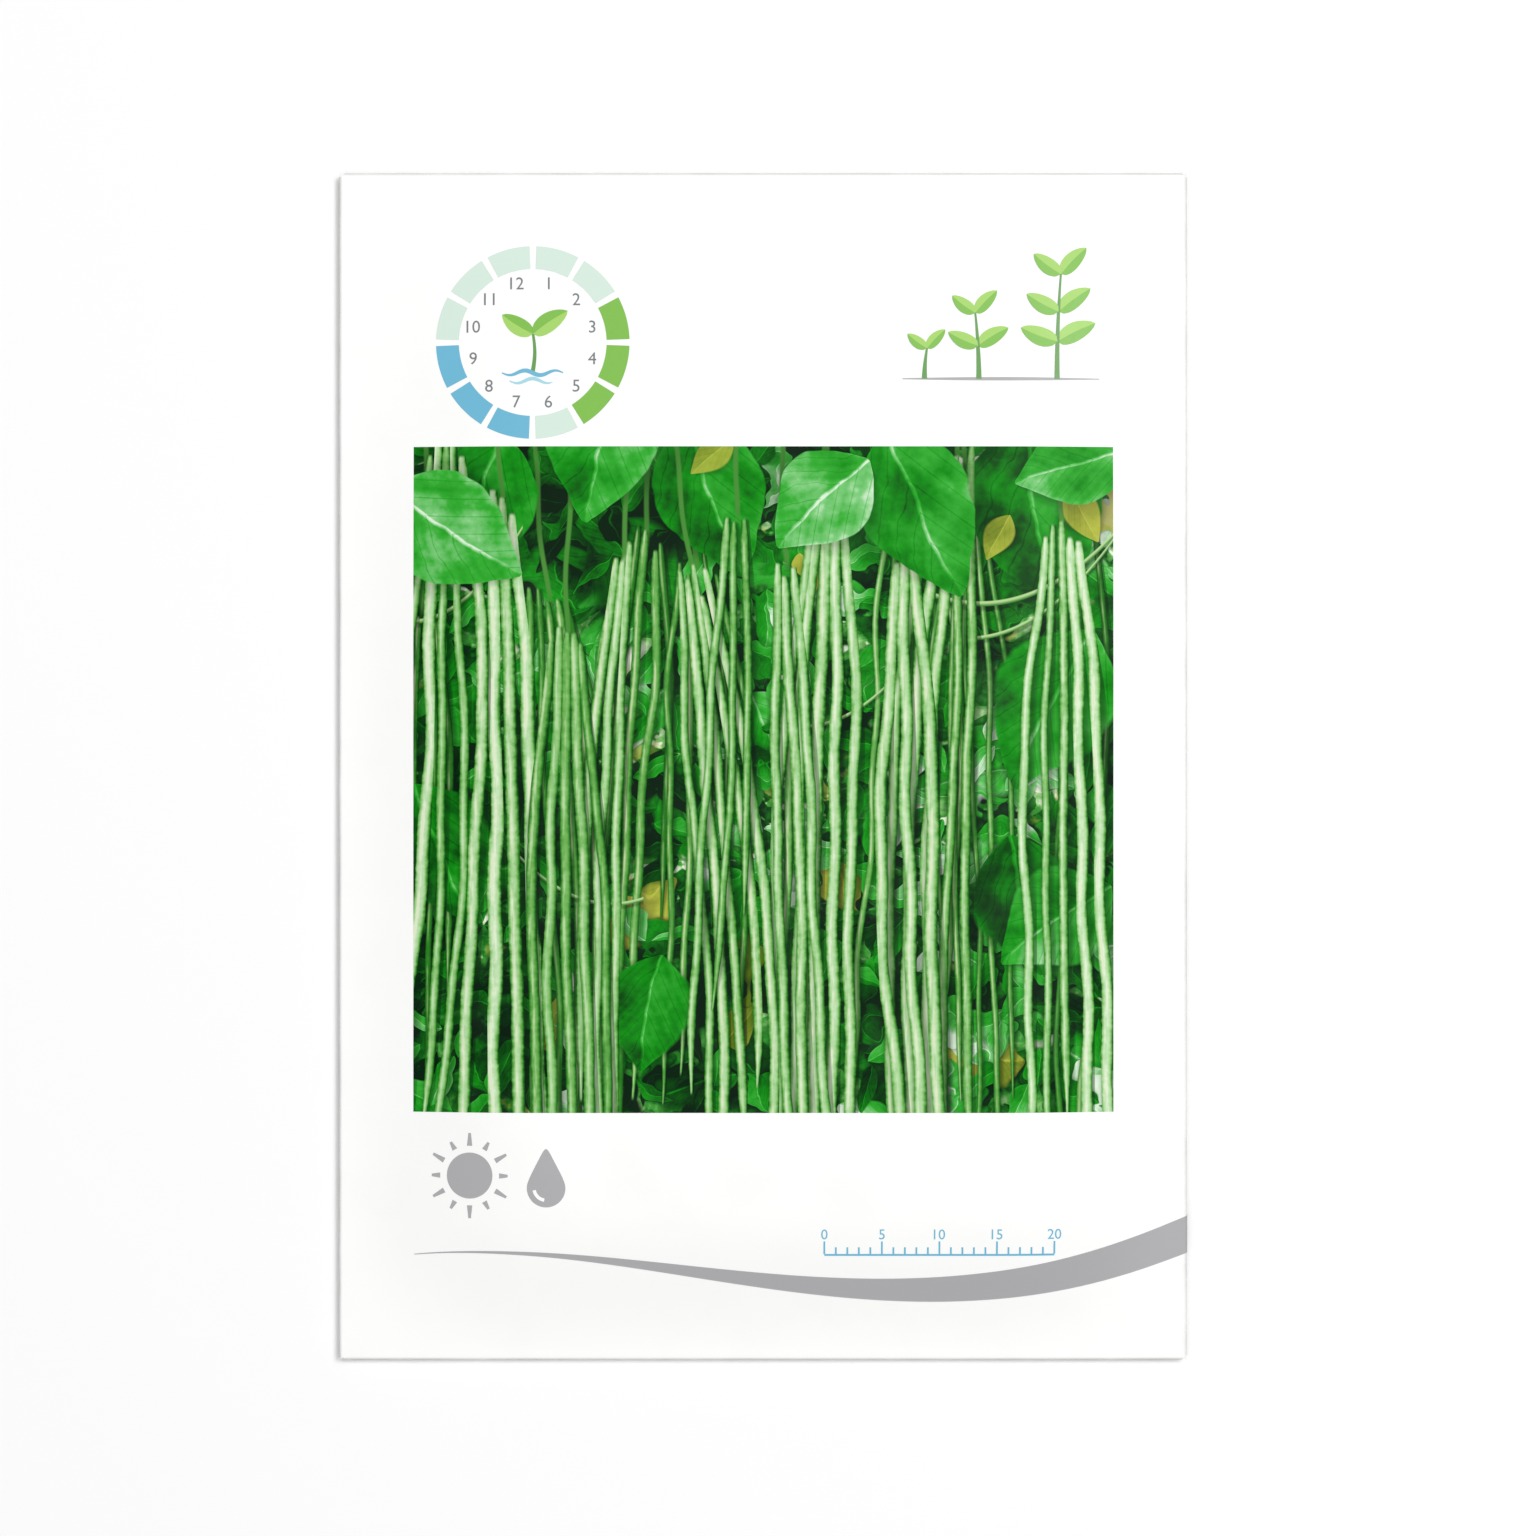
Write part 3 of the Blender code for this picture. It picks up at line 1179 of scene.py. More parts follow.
    def _strip(self, fold: float, reach: float) -> list[float]:
        """Lengths past a fold line: close together round the fold, then a cell apart.

        Args:
            fold: The fold's radius.
            reach: How far the strip goes, from the packet's edge.

        Returns:
            The lengths.
        """
        around = pi * fold
        straight = reach - fold
        count = max(1, math.ceil(straight / self.cell))
        turn = [around * i / self.fold_steps for i in range(1, self.fold_steps + 1)]
        return turn + [around + straight * i / count for i in range(1, count + 1)]

    def swell(self, x: Array, y: Array, foot_ramp: float) -> Array:
        """How far the seeds have pushed a panel out at x, y: 0 at the rim, and 1 beyond its ramps."""
        along = ramp(self.half_height + y, foot_ramp) * ramp(self.half_height - y, self.head_ramp)
        return along * ramp(self.half_width - np.abs(x), self.side_ramp)

    def over_seeds(self, x: Array, y: Array) -> Array:
        """How close to a seed places are.

        Args:
            x: The places across the packet.
            y: The places up the packet.

        Returns:
            1 over the middle of a seed, down to 0 well away from all.
        """
        clear = np.ones_like(x)
        for seed in self.seeds:
            east, north = x - seed.x, y - seed.y
            along = east * cos(seed.turn) + north * sin(seed.turn)
            across = north * cos(seed.turn) - east * sin(seed.turn)
            clear *= 1 - np.exp(-((along / self.bump_length) ** 2) - (across / self.bump_width) ** 2)
        return 1 - clear

    def puckers(self, x: Array, y: Array) -> Array:
        """The shallow creases that run in from the side folds where the packet starts to swell.

        Args:
            x: Places across the packet.
            y: Places up the packet.

        Returns:
            How far each place is raised.
        """
        side, foot, head = self.pucker_starts
        inward = self.half_width - np.abs(x)
        band_share = np.exp(-(((inward - self.pucker_inset) / self.pucker_band) ** 2)) * ramp(inward, side)
        shift = np.where(x > 0, *self.pucker_shifts)
        waves = sum(np.sin(y / length + shift * turn) * share for length, turn, share in self.pucker_waves)
        along = ramp(self.half_height + y, foot) * ramp(self.half_height - y, head)
        return self.pucker * band_share * waves * along

    def pulls(self, u: Array, v: Array) -> list[Array]:
        """How far the front's edges are pulled out over the folds, most of all at the corners.

        Args:
            u: Places across the unfolded sheet, measured on the front.
            v: Places up the unfolded sheet.

        Returns:
            The pulls along X and along Y, which make the creases crisp and the corners pointed.
        """
        side_in = np.minimum(u - self.left_line, self.right_line - u)
        end_in = np.minimum(v - self.bottom_line, self.top_line - v)
        tip = np.clip(1 - side_in / self.notch, 0, 1) * np.clip(1 - end_in / self.notch, 0, 1)
        made = []
        for inward, place, low_fold, high_fold in (
            (side_in, u, self.side_fold, self.seam_fold),
            (end_in, v, self.closing_fold, self.closing_fold),
        ):
            fold = np.where(place < 0, low_fold, high_fold)
            # A fold can't be flatter than this without its inner face crossing itself
            room = fold - self.inner_room * np.sqrt(fold * self.paper / 2)
            full = fold + self.tip_reach
            pull = (1 - ramp(inward, self.pull_reach)) * (room + (full - room) * tip)
            made.append(np.sign(place) * pull)
        return made

    def middle(self, u: Array, v: Array) -> Array:
        """Where the middle of the paper is once the sheet is folded.

        Args:
            u: Places across the unfolded sheet, measured on the front.
            v: Places up the unfolded sheet.

        Returns:
            The points, with one more axis than the places.
        """
        left, right = self.left_line - u, u - self.right_line
        below, above = self.bottom_line - v, v - self.top_line
        end = np.maximum(below, above)
        left_out, left_drop, left_across, left_along = turned_under(left, self.side_fold)
        right_out, right_drop, right_across, right_along = turned_under(right, self.seam_fold)
        end_out, end_drop, end_across, end_along = turned_under(end, self.closing_fold)
        narrowed = u * (1 - self.closing_taper * np.maximum(end, 0) / self.half_width)
        shortened = v * (1 - self.seam_taper * np.maximum(right, 0) / self.half_height)
        past = [left > 0, right > 0, below > 0, above > 0]
        x = np.select(past, [self.left_line - left_out, self.right_line + right_out, narrowed, narrowed], u)
        y = np.select(past, [v, shortened, self.bottom_line - end_out, self.top_line + end_out], v)
        drop = np.select(past, [left_drop, right_drop, end_drop, end_drop], 0.0)
        pull_x, pull_y = self.pulls(u, v)
        x = x + pull_x * left_across * right_across * end_along
        y = y + pull_y * left_along * right_along * end_across
        seeds = self.over_seeds(x, y)
        front = self.swell(x, y, self.front_foot_ramp)
        back = self.swell(x, y, self.back_foot_ramp)
        front_z = self.rim + front * (self.front_rise - self.front_sag * (1 - seeds)) + self.puckers(x, y)
        flap = np.where(below > 0, self.bottom_flap, self.top_flap)
        off_middle = ramp(np.abs(x) - self.curl_start, self.curl_reach)
        curl = self.flap_curl * np.clip(end / flap, 0, 1) ** 3 * off_middle
        belly = self.back_drop - self.belly_lift - self.back_sag * (1 - seeds)
        back_z = self.rim - drop - back * belly - curl
        return np.stack([x, y, np.where(np.any(past, axis=0), back_z, front_z)], axis=-1)

    def normal(self, u: Array, v: Array) -> Array:
        """Which way the printed face looks.

        Args:
            u: Places across the unfolded sheet.
            v: Places up the unfolded sheet.

        Returns:
            The directions, each of length 1.
        """
        step = 0.002 * MM
        along = self.middle(u + step, v) - self.middle(u - step, v)
        up = self.middle(u, v + step) - self.middle(u, v - step)
        crossed = np.cross(along, up)
        return crossed / np.linalg.norm(crossed, axis=-1, keepdims=True)

    def on_paper(self, u: float, v: float) -> bool:
        """Whether a place is paper: the unfolded sheet is a cross, notched where folds meet.

        Args:
            u: The place across the unfolded sheet.
            v: The place up the unfolded sheet.

        Returns:
            True for paper.
        """
        across = self.left_line < u < self.right_line
        up = self.bottom_line < v < self.top_line
        beside_ends = self.bottom_line + self.notch < v < self.top_line - self.notch
        between_sides = self.left_line + self.notch < u < self.right_line - self.notch
        return (across or beside_ends) and (up or between_sides)

    def lay(self, places: Array, lift: float) -> Array:
        """Puts flat points on the folded sheet, parallel to the flat facets of its mesh.

        Args:
            places: The points on the unfolded sheet, one row each.
            lift: How far they stand off the paper's printed face.

        Returns:
            The points in space, one row each.
        """
        i = np.clip(np.searchsorted(self.us, places[:, 0]) - 1, 0, len(self.us) - 2)
        j = np.clip(np.searchsorted(self.vs, places[:, 1]) - 1, 0, len(self.vs) - 2)
        a = ((places[:, 0] - self.us[i]) / (self.us[i + 1] - self.us[i]))[:, None]
        b = ((places[:, 1] - self.vs[j]) / (self.vs[j + 1] - self.vs[j]))[:, None]
        grid = self.outers + self.normals * lift
        low = grid[i, j] * (1 - a) + grid[i + 1, j] * a
        high = grid[i, j + 1] * (1 - a) + grid[i + 1, j + 1] * a
        return low * (1 - b) + high * b

    def back_place(self, x: float, y: float) -> Flat:
        """The place on the unfolded sheet that lies at x, y on the back panel."""
        return 2 * self.left_line - x - pi * self.side_fold, y


# How pieces are made


def closed_shell(faces: Sequence[Sequence[int]], count: int) -> list[tuple[int, ...]]:
    """Joins a sheet's two sides into a closed shell.

    Args:
        faces: The faces of the upper side, by point number.
        count: How many points each side has. The lower side's points come after the upper side's.

    Returns:
        The faces of the upper side, the lower side and the rim.
    """
    edges = {(face[k], face[(k + 1) % len(face)]) for face in faces for k in range(len(face))}
    lower = [tuple(point + count for point in reversed(face)) for face in faces]
    rim = [(b, a, a + count, b + count) for a, b in sorted(edges) if (b, a) not in edges]
    return [tuple(face) for face in faces] + lower + rim


def add_object(name: str, data: bpy.types.ID) -> Piece:
    """Puts an object into the scene.

    Args:
        name: The object's name.
        data: Its mesh, lamp, lens or text.

    Returns:
        The object.
    """
    made = bpy.data.objects.new(name, data)
    bpy.context.scene.collection.objects.link(made)
    return made


def new_piece(
    name: str,
    points: Array,
    faces: Sequence[Sequence[int]],
    marks: Mapping[str, Array],
    sharp: float = 40.0,
) -> Piece:
    """Makes a mesh object of the packet.

    Args:
        name: The piece's name.
        points: Its points, one row each.
        faces: Its faces, by point number.
        marks: What the finish reads at each point, by name: a number, or the four parts of a colour.
        sharp: The angle in degrees above which an edge is shaded sharp.

    Returns:
        The object, which rides with the packet.
    """
    mesh = bpy.data.meshes.new(name)
    mesh.from_pydata(points.tolist(), [], faces)
    mesh.validate()
    mesh.shade_smooth()
    mesh.set_sharp_from_angle(angle=radians(sharp))
    for label, values in marks.items():
        kind, part = ("FLOAT_COLOR", "color") if values.ndim > 1 else ("FLOAT", "value")
        attribute = mesh.attributes.new(label, kind, "POINT")
        attribute.data.foreach_set(part, values.astype(np.float32).ravel())
    piece = add_object(name, mesh)
    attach(piece, BODY)
    return piece


@dataclass
class PaperEnvelope:
    """The paper of the packet."""

    sheet: PacketSheet
    name: str = "paper_envelope"
    fold_reach: float = 0.35 * MM

    def build(self) -> Piece:
        """Builds the folded sheet as one closed shell.

        Returns:
            The piece, with its coat and fold attributes.
        """
        sheet = self.sheet
        us, vs = sheet.us, sheet.vs
        numbers: dict[tuple[int, int], int] = {}
        faces = []
        for i in range(len(us) - 1):
            for j in range(len(vs) - 1):
                if sheet.on_paper((us[i] + us[i + 1]) / 2, (vs[j] + vs[j + 1]) / 2):
                    corners = ((i, j), (i + 1, j), (i + 1, j + 1), (i, j + 1))
                    faces.append([numbers.setdefault(corner, len(numbers)) for corner in corners])
        i, j = np.array(list(numbers)).T
        outer = sheet.outers[i, j]
        inner = outer - sheet.normals[i, j] * sheet.paper
        marks = {"coat": np.repeat([1.0, 0.0], len(i)), "fold": np.tile(self._nearness(us[i], vs[j]), 2)}
        return new_piece(self.name, np.vstack([outer, inner]), closed_shell(faces, len(i)), marks)

    def _nearness(self, u: Array, v: Array) -> Array:
        """How near places are to the outermost line of a fold.

        Args:
            u: The places across the unfolded sheet.
            v: The places up the unfolded sheet.

        Returns:
            1 on such a line, down to 0 away from all.
        """
        sheet = self.sheet
        near = np.zeros_like(u)
        for place, line, way, radius in (
            (u, sheet.left_line, -1, sheet.side_fold),
            (u, sheet.right_line, 1, sheet.seam_fold),
            (v, sheet.bottom_line, -1, sheet.closing_fold),
            (v, sheet.top_line, 1, sheet.closing_fold),
        ):
            off_line = np.abs(place - (line + way * radius * pi / 2))
            near = np.maximum(near, 1 - ramp(off_line - radius, self.fold_reach))
        return near

    def dress(self, piece: Piece, finish: Material) -> None:
        """Gives the piece its paper, and lets it stand for the CAD envelope.

        Args:
            piece: The piece.
            finish: The paper's material.
        """
        piece.data.materials.append(finish)
        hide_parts("envelope")


@dataclass
class LooseSeeds:
    """The seeds inside the packet."""

    places: list[SeedPlace]
    name: str = "bean_seeds"
    length: float = 10 * MM
    width: float = 5.4 * MM
    thickness: float = 4.0 * MM
    around: int = 24
    rings: int = 14
    # Shares that shape it: blunt ends, one of them narrower, a bend like a kidney's and its middle, and the
    # dent's depth and reach
    bluntness: float = 0.9
    narrowing: float = 0.12
    slimness: float = 0.92
    bend: Flat = (0.22, 0.35)
    dent: Flat = (0.16, 0.3)
    # Half the hilum's length and height, as shares of half the seed's
    hilum_reach: Flat = (0.2, 0.34)

    def _one(self) -> tuple[Array, Array, list[list[int]]]:
        """Shapes one seed, with its hilum towards -Y.

        Returns:
            Its points, how much each of them is hilum, and its faces.
        """
        shape = bmesh.new()
        bmesh.ops.create_uvsphere(shape, u_segments=self.around, v_segments=self.rings, radius=1.0)
        points, hilum = [], []
        for vert in shape.verts:
            along, across, up = vert.co.z, vert.co.x, vert.co.y
            blunt = math.copysign(abs(along) ** self.bluntness, along)
            narrowed = 1 - self.narrowing * along
            bend = self.bend[0] * (self.bend[1] - along * along)
            dent = self.dent[0] * math.exp(-((along / self.dent[1]) ** 2)) * max(0.0, -across)
            x = blunt * self.length / 2
            y = (across * narrowed * self.slimness + bend + dent) * self.width / 2
            points.append((x, y, up * narrowed * self.thickness / 2))
            near = math.exp(-((along / self.hilum_reach[0]) ** 4) - (up / self.hilum_reach[1]) ** 4)
            hilum.append(near if across < 0 else 0.0)
        shape.verts.index_update()
        faces = []
        for face in shape.faces:
            corners = [vert.index for vert in face.verts]
            first = corners.index(min(corners))
            faces.append(corners[first:] + corners[:first])
        shape.free()
        # Blender lists a sphere's faces in another order on each run
        return np.array(points), np.array(hilum), sorted(faces)

    def build(self) -> Piece:
        """Builds all the seeds as one piece, each where its CAD solid is.

        Returns:
            The piece, with its hilum attribute.
        """
        points, hilum, faces = self._one()
        all_points, all_faces = [], []
        for index, place in enumerate(self.places):
            cosine, sine = cos(place.turn), sin(place.turn)
            x = points[:, 0] * cosine - points[:, 1] * sine + place.x
            y = points[:, 0] * sine + points[:, 1] * cosine + place.y
            all_points.append(np.stack([x, y, points[:, 2] + place.z], axis=-1))
            all_faces += [[corner + index * len(points) for corner in face] for face in faces]
        marks = {"hilum": np.tile(hilum, len(self.places))}
        return new_piece(self.name, np.vstack(all_points), all_faces, marks, sharp=180.0)

    def dress(self, piece: Piece, finish: Material) -> None:
        """Gives the seeds their coat, and lets them stand for the CAD seeds.

        Args:
            piece: The piece.
            finish: The seeds' material.
        """
        piece.data.materials.append(finish)
        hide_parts(*sorted(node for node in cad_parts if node.startswith("seed_")))


# Flat shapes for the printed skins, in metres on the unfolded sheet


@dataclass
class InkShape:
    """A flat filled outline in one ink, or several faces that share their points."""

    ink: Ink
    points: list[Flat]
    faces: list[list[int]]
    level: int = 0

    def above(self, level: int = 1) -> "InkShape":
        """The same shape, printed over so many others."""
        return InkShape(self.ink, self.points, self.faces, level)


def polar(centre: Flat, radius: float, turn: float) -> Flat:
    """The point at a distance from a centre, in the direction of an angle from +X in radians."""
    return centre[0] + radius * cos(turn), centre[1] + radius * sin(turn)


def tapered(count: int, width: float, thin: float = 0.25) -> list[float]:
    """Widths of a line that thins towards both ends, to that share of its width."""
    return [width * (thin + (1 - thin) * sin(pi * i / (count - 1))) for i in range(count)]


def swaying(root: Flat, height: float, sway: float, steps: int) -> list[Flat]:
    """The points of a stem that swings out to the right and back on its way up."""
    turns = [i / steps * 3 for i in range(steps + 1)]
    return [(root[0] + sway * sin(turn), root[1] + turn / 3 * height) for turn in turns]


def filled(ink: Ink, outline: Sequence[Flat]) -> InkShape:
    """A shape with that outline, which runs anticlockwise."""
    return InkShape(ink, list(outline), [list(range(len(outline)))])


def band(ink: Ink, first: Sequence[Flat], second: Sequence[Flat]) -> InkShape:
    """A strip between two lines.

    Args:
        ink: The ink.
        first: The points of the one line.
        second: As many points, on the first line's left.

    Returns:
        The shape.
    """
    count = len(first)
    faces = [[i, i + 1, count + i + 1, count + i] for i in range(count - 1)]
    return InkShape(ink, [*first, *second], faces)


def box(ink: Ink, low: Flat, high: Flat) -> InkShape:
    """An upright rectangle."""
    return filled(ink, [low, (high[0], low[1]), high, (low[0], high[1])])


def sector(ink: Ink, centre: Flat, radii: Flat, ends: Flat) -> InkShape:
    """A piece of a ring.

    Args:
        ink: The ink.
        centre: The ring's centre.
        radii: The ring's inner and outer radius.
        ends: The angles where it starts and ends, in radians anticlockwise from +X.

    Returns:
        The shape.
    """
    start, end = ends
    steps = 10
    turns = [start + (end - start) * i / steps for i in range(steps + 1)]
    inner, outer = ([polar(centre, radius, turn) for turn in turns] for radius in radii)
    return band(ink, outer, inner)


def stroke(ink: Ink, line: Sequence[Flat], widths: Sequence[float] | Array) -> InkShape:
    """A line drawn with a nib.

    Args:
        ink: The ink.
        line: The points that the nib passes.
        widths: How wide the line is at each point.

    Returns:
        The shape.
    """
    path = np.array(line)
    heading = np.gradient(path, axis=0)
    heading /= np.linalg.norm(heading, axis=1, keepdims=True)
    left = np.stack([-heading[:, 1], heading[:, 0]], axis=-1) * np.array(widths)[:, None] / 2
    return band(ink, [tuple(p) for p in path - left], [tuple(p) for p in path + left])


def leaf(
    base: Flat, angle: float, length: float, width: float, inks: tuple[Ink, Ink], level: int = 0
) -> list[InkShape]:
    """A pointed leaf in two inks, one each side of its midrib.

    Args:
        base: Where the leaf joins its stalk.
        angle: Which way it points, in degrees anticlockwise from +X.
        length: Its length.
        width: Its greatest width.
        inks: The ink of its right half and of its left half.
        level: How many other shapes it is printed over.

    Returns:
        The two halves.
    """
    steps = 14
    cosine, sine = cos(radians(angle)), sin(radians(angle))
    # How blunt the base and the tip are, and shares of the width: the fullness, the stalk and the curve
    base_power, tip_power = 0.55, 0.75
    fullness, stalk, curve = 2.36 * 0.93 / 2, 0.004, 0.06
    lines = []
    for way in (-1, 0, 1):
        line = []
        for share in (i / steps for i in range(steps + 1)):
            half = width * (fullness * share**base_power * (1 - share) ** tip_power + stalk)
            along = share * length
            across = sin(share * pi) * width * curve + way * half
            line.append((base[0] + along * cosine - across * sine, base[1] + along * sine + across * cosine))
        lines.append(line)
    right, rib, left = lines
    return [band(inks[0], right, rib).above(level), band(inks[1], rib, left).above(level)]


def numeral(ink: Ink, number: int, height: float, centre: Flat) -> InkShape:
    """A printed number.

    Args:
        ink: The ink.
        number: The number.
        height: The height of a digit.
        centre: The middle of the number.

    Returns:
        The shape, in Blender's own typeface.
    """
    digit_share = 0.7
    curve = bpy.data.curves.new("numeral", "FONT")
    curve.body = str(number)
    curve.size = height / digit_share
    curve.resolution_u = 3
    holder = add_object("numeral", curve)
    mesh = bpy.data.meshes.new_from_object(holder.evaluated_get(bpy.context.evaluated_depsgraph_get()))
    points = np.array([tuple(v.co)[:2] for v in mesh.vertices])
    faces = [list(p.vertices) for p in mesh.polygons]
    points += np.array(centre) - (points.min(0) + points.max(0)) / 2
    bpy.data.objects.remove(holder)
    bpy.data.curves.remove(curve)
    bpy.data.meshes.remove(mesh)
    return InkShape(ink, [tuple(p) for p in points], faces)


@dataclass
class InkSkin:
    """A thin closed film of ink on the paper, cut along the paper's own grid lines to follow them."""

    sheet: PacketSheet
    name: str
    foot: float = 0.02 * MM
    film: float = 0.018 * MM
    level_rise: float = 0.028 * MM
    # How near points are to be one, how near a line to be on it, and how short an edge is to go
    same: float = 1e-7
    on_line: float = 1e-8
    sliver: float = 2e-6

    def build(self, shapes: Sequence[InkShape]) -> Piece:
        """Lays flat shapes on the sheet.

        Args:
            shapes: The shapes. Where two overlap, their levels differ.

        Returns:
            The piece, with its ink attribute.
        """
        points, faces, inks = [], [], []
        for shape in shapes:
            flat, cut = self._cut(shape)
            foot = self.foot + shape.level * self.level_rise
            points += [self.sheet.lay(flat, foot + self.film), self.sheet.lay(flat, foot)]
            faces += [[corner + len(inks) for corner in face] for face in closed_shell(cut, len(flat))]
            inks += [(*shape.ink.value, 1.0)] * (2 * len(flat))
        return new_piece(self.name, np.vstack(points), faces, {"ink": np.array(inks)})

    def dress(self, piece: Piece, finish: Material) -> None:
        """Gives the skin its ink."""
        piece.data.materials.append(finish)

    def _cut(self, shape: InkShape) -> tuple[Array, list[list[int]]]:
        """Cuts a flat shape along the sheet's grid lines.

        Args:
            shape: The shape.

        Returns:
            Its points on the unfolded sheet, and its faces, all anticlockwise.
        """
        work = bmesh.new()
        corners = [work.verts.new((u, v, 0.0)) for u, v in shape.points]
        for face in shape.faces:
            work.faces.new([corners[k] for k in face])
        bmesh.ops.remove_doubles(work, verts=work.verts[:], dist=self.same)
        places = np.array([tuple(v.co)[:2] for v in work.verts])
        low, high = places.min(0), places.max(0)
        for axis, lines in enumerate((self.sheet.us, self.sheet.vs)):
            facing = Vector((1 - axis, axis, 0))
            for line in lines[(lines > low[axis] + self.same) & (lines < high[axis] - self.same)]:
                geometry = work.verts[:] + work.edges[:] + work.faces[:]
                plane = {"plane_co": facing * line, "plane_no": facing}
                bmesh.ops.bisect_plane(work, geom=geometry, dist=self.on_line, **plane)
        bmesh.ops.triangulate(work, faces=[f for f in work.faces if len(f.verts) > 4])
        bmesh.ops.dissolve_degenerate(work, dist=self.sliver, edges=work.edges[:])
        for face in work.faces:
            face.normal_update()
            if face.normal.z < 0:
                face.normal_flip()
        work.verts.index_update()
        flat = np.array([tuple(v.co)[:2] for v in work.verts])
        faces = [[v.index for v in face.verts] for face in work.faces]
        work.free()
        return flat, faces


# The printed pieces


@dataclass
class PrintedPicture:
    """The full-colour picture on the front: a rectangle of ink with its own flat map."""

    sheet: PacketSheet
    bounds: PictureBounds
    name: str = "printed_picture"
    margin: float = 0.01
    rim_band: float = 0.02
    # Shares of that band: its inset, the film's width in it, and the step to the film's underside
    band_shares: Three = (0.1, 0.4, 0.2)

    def build(self) -> Piece:
        """Builds the rectangle of ink.

        Returns:
            The piece.
        """
        low = (self.bounds.left * MM, self.bounds.bottom * MM)
        high = (self.bounds.right * MM, self.bounds.top * MM)
        piece = InkSkin(self.sheet, self.name).build([box(Ink.LEAF, low, high)])
        piece.data.attributes.remove(piece.data.attributes["ink"])
        self._map(piece.data, Vector(low), Vector(high) - Vector(low))
        return piece

    def _map(self, mesh: Mesh, low: Vector, span: Vector) -> None:
        """Lays the printed face over nearly the whole map, and the rest of the film in a band beside it.

        Args:
            mesh: The film's mesh.
            low: The picture's lower left corner.
            span: Its width and height.
        """
        layer = mesh.uv_layers.new(name="OFBake")
        count = len(mesh.vertices) // 2
        inset, run, step = self.band_shares
        face_width = 1 - 2 * self.margin - self.rim_band
        face_height = 1 - 2 * self.margin
        for polygon in mesh.polygons:
            printed = all(point < count for point in polygon.vertices)
            for loop in polygon.loop_indices:
                point = mesh.loops[loop].vertex_index
                place = mesh.vertices[point].co
                across = (place.x - low.x) / span.x
                up = (place.y - low.y) / span.y
                share = inset + run * across + step * (point >= count)
                at = self.margin + across * face_width if printed else 1 - self.rim_band * share
                layer.data[loop].uv = (at, self.margin + up * face_height)

    def dress(self, piece: Piece, strips: Sequence[Material]) -> None:
        """Gives each upright strip of the picture its inks.

        Args:
            piece: The piece.
            strips: The strips' materials, from left to right.
        """
        for finish in strips:
            piece.data.materials.append(finish)
        width = (self.bounds.right - self.bounds.left) / self.bounds.strips
        for polygon in piece.data.polygons:
            strip = int((polygon.center.x / MM - self.bounds.left) / width)
            polygon.material_index = min(max(strip, 0), self.bounds.strips - 1)


@dataclass
class SweepingStripe:
    """The grey stripe that widens as it crosses the foot of the front, and runs on round the right fold."""

    upper: tuple[Flat, ...] = ((-41.0, -57.32), (-12.0, -54.2), (16.0, -68.5), (51.6, -52.2))
    lower: tuple[Flat, ...] = ((-41.0, -57.42), (-12.0, -54.7), (16.0, -71.8), (51.9, -56.5))
    steps: int = 72

    def _edge(self, controls: tuple[Flat, ...]) -> list[Flat]:
        """Draws one edge of the stripe.

        Args:
            controls: The four points that shape it, in millimetres.

        Returns:
            Its points, in metres.
        """
        t = np.arange(self.steps + 1)[:, None] / self.steps
        weights = ((1 - t) ** 3, 3 * t * (1 - t) ** 2, 3 * t * t * (1 - t), t**3)
        points = sum(weight * np.array(control) for weight, control in zip(weights, controls)) * MM
        return [tuple(point) for point in points]

    def shapes(self) -> list[InkShape]:
        """The stripe."""
        return [band(Ink.STONE, self._edge(self.lower), self._edge(self.upper))]


@dataclass(frozen=True)
class SowingYear:
    """The months to sow in and to pick in."""

    sowing: tuple[int, ...] = (3, 4, 5)
    picking: tuple[int, ...] = (7, 8, 9)

    def ink(self, month: int) -> Ink:
        """The ink of a month's field."""
        return Ink.LEAF if month in self.sowing else Ink.WATER if month in self.picking else Ink.FAINT


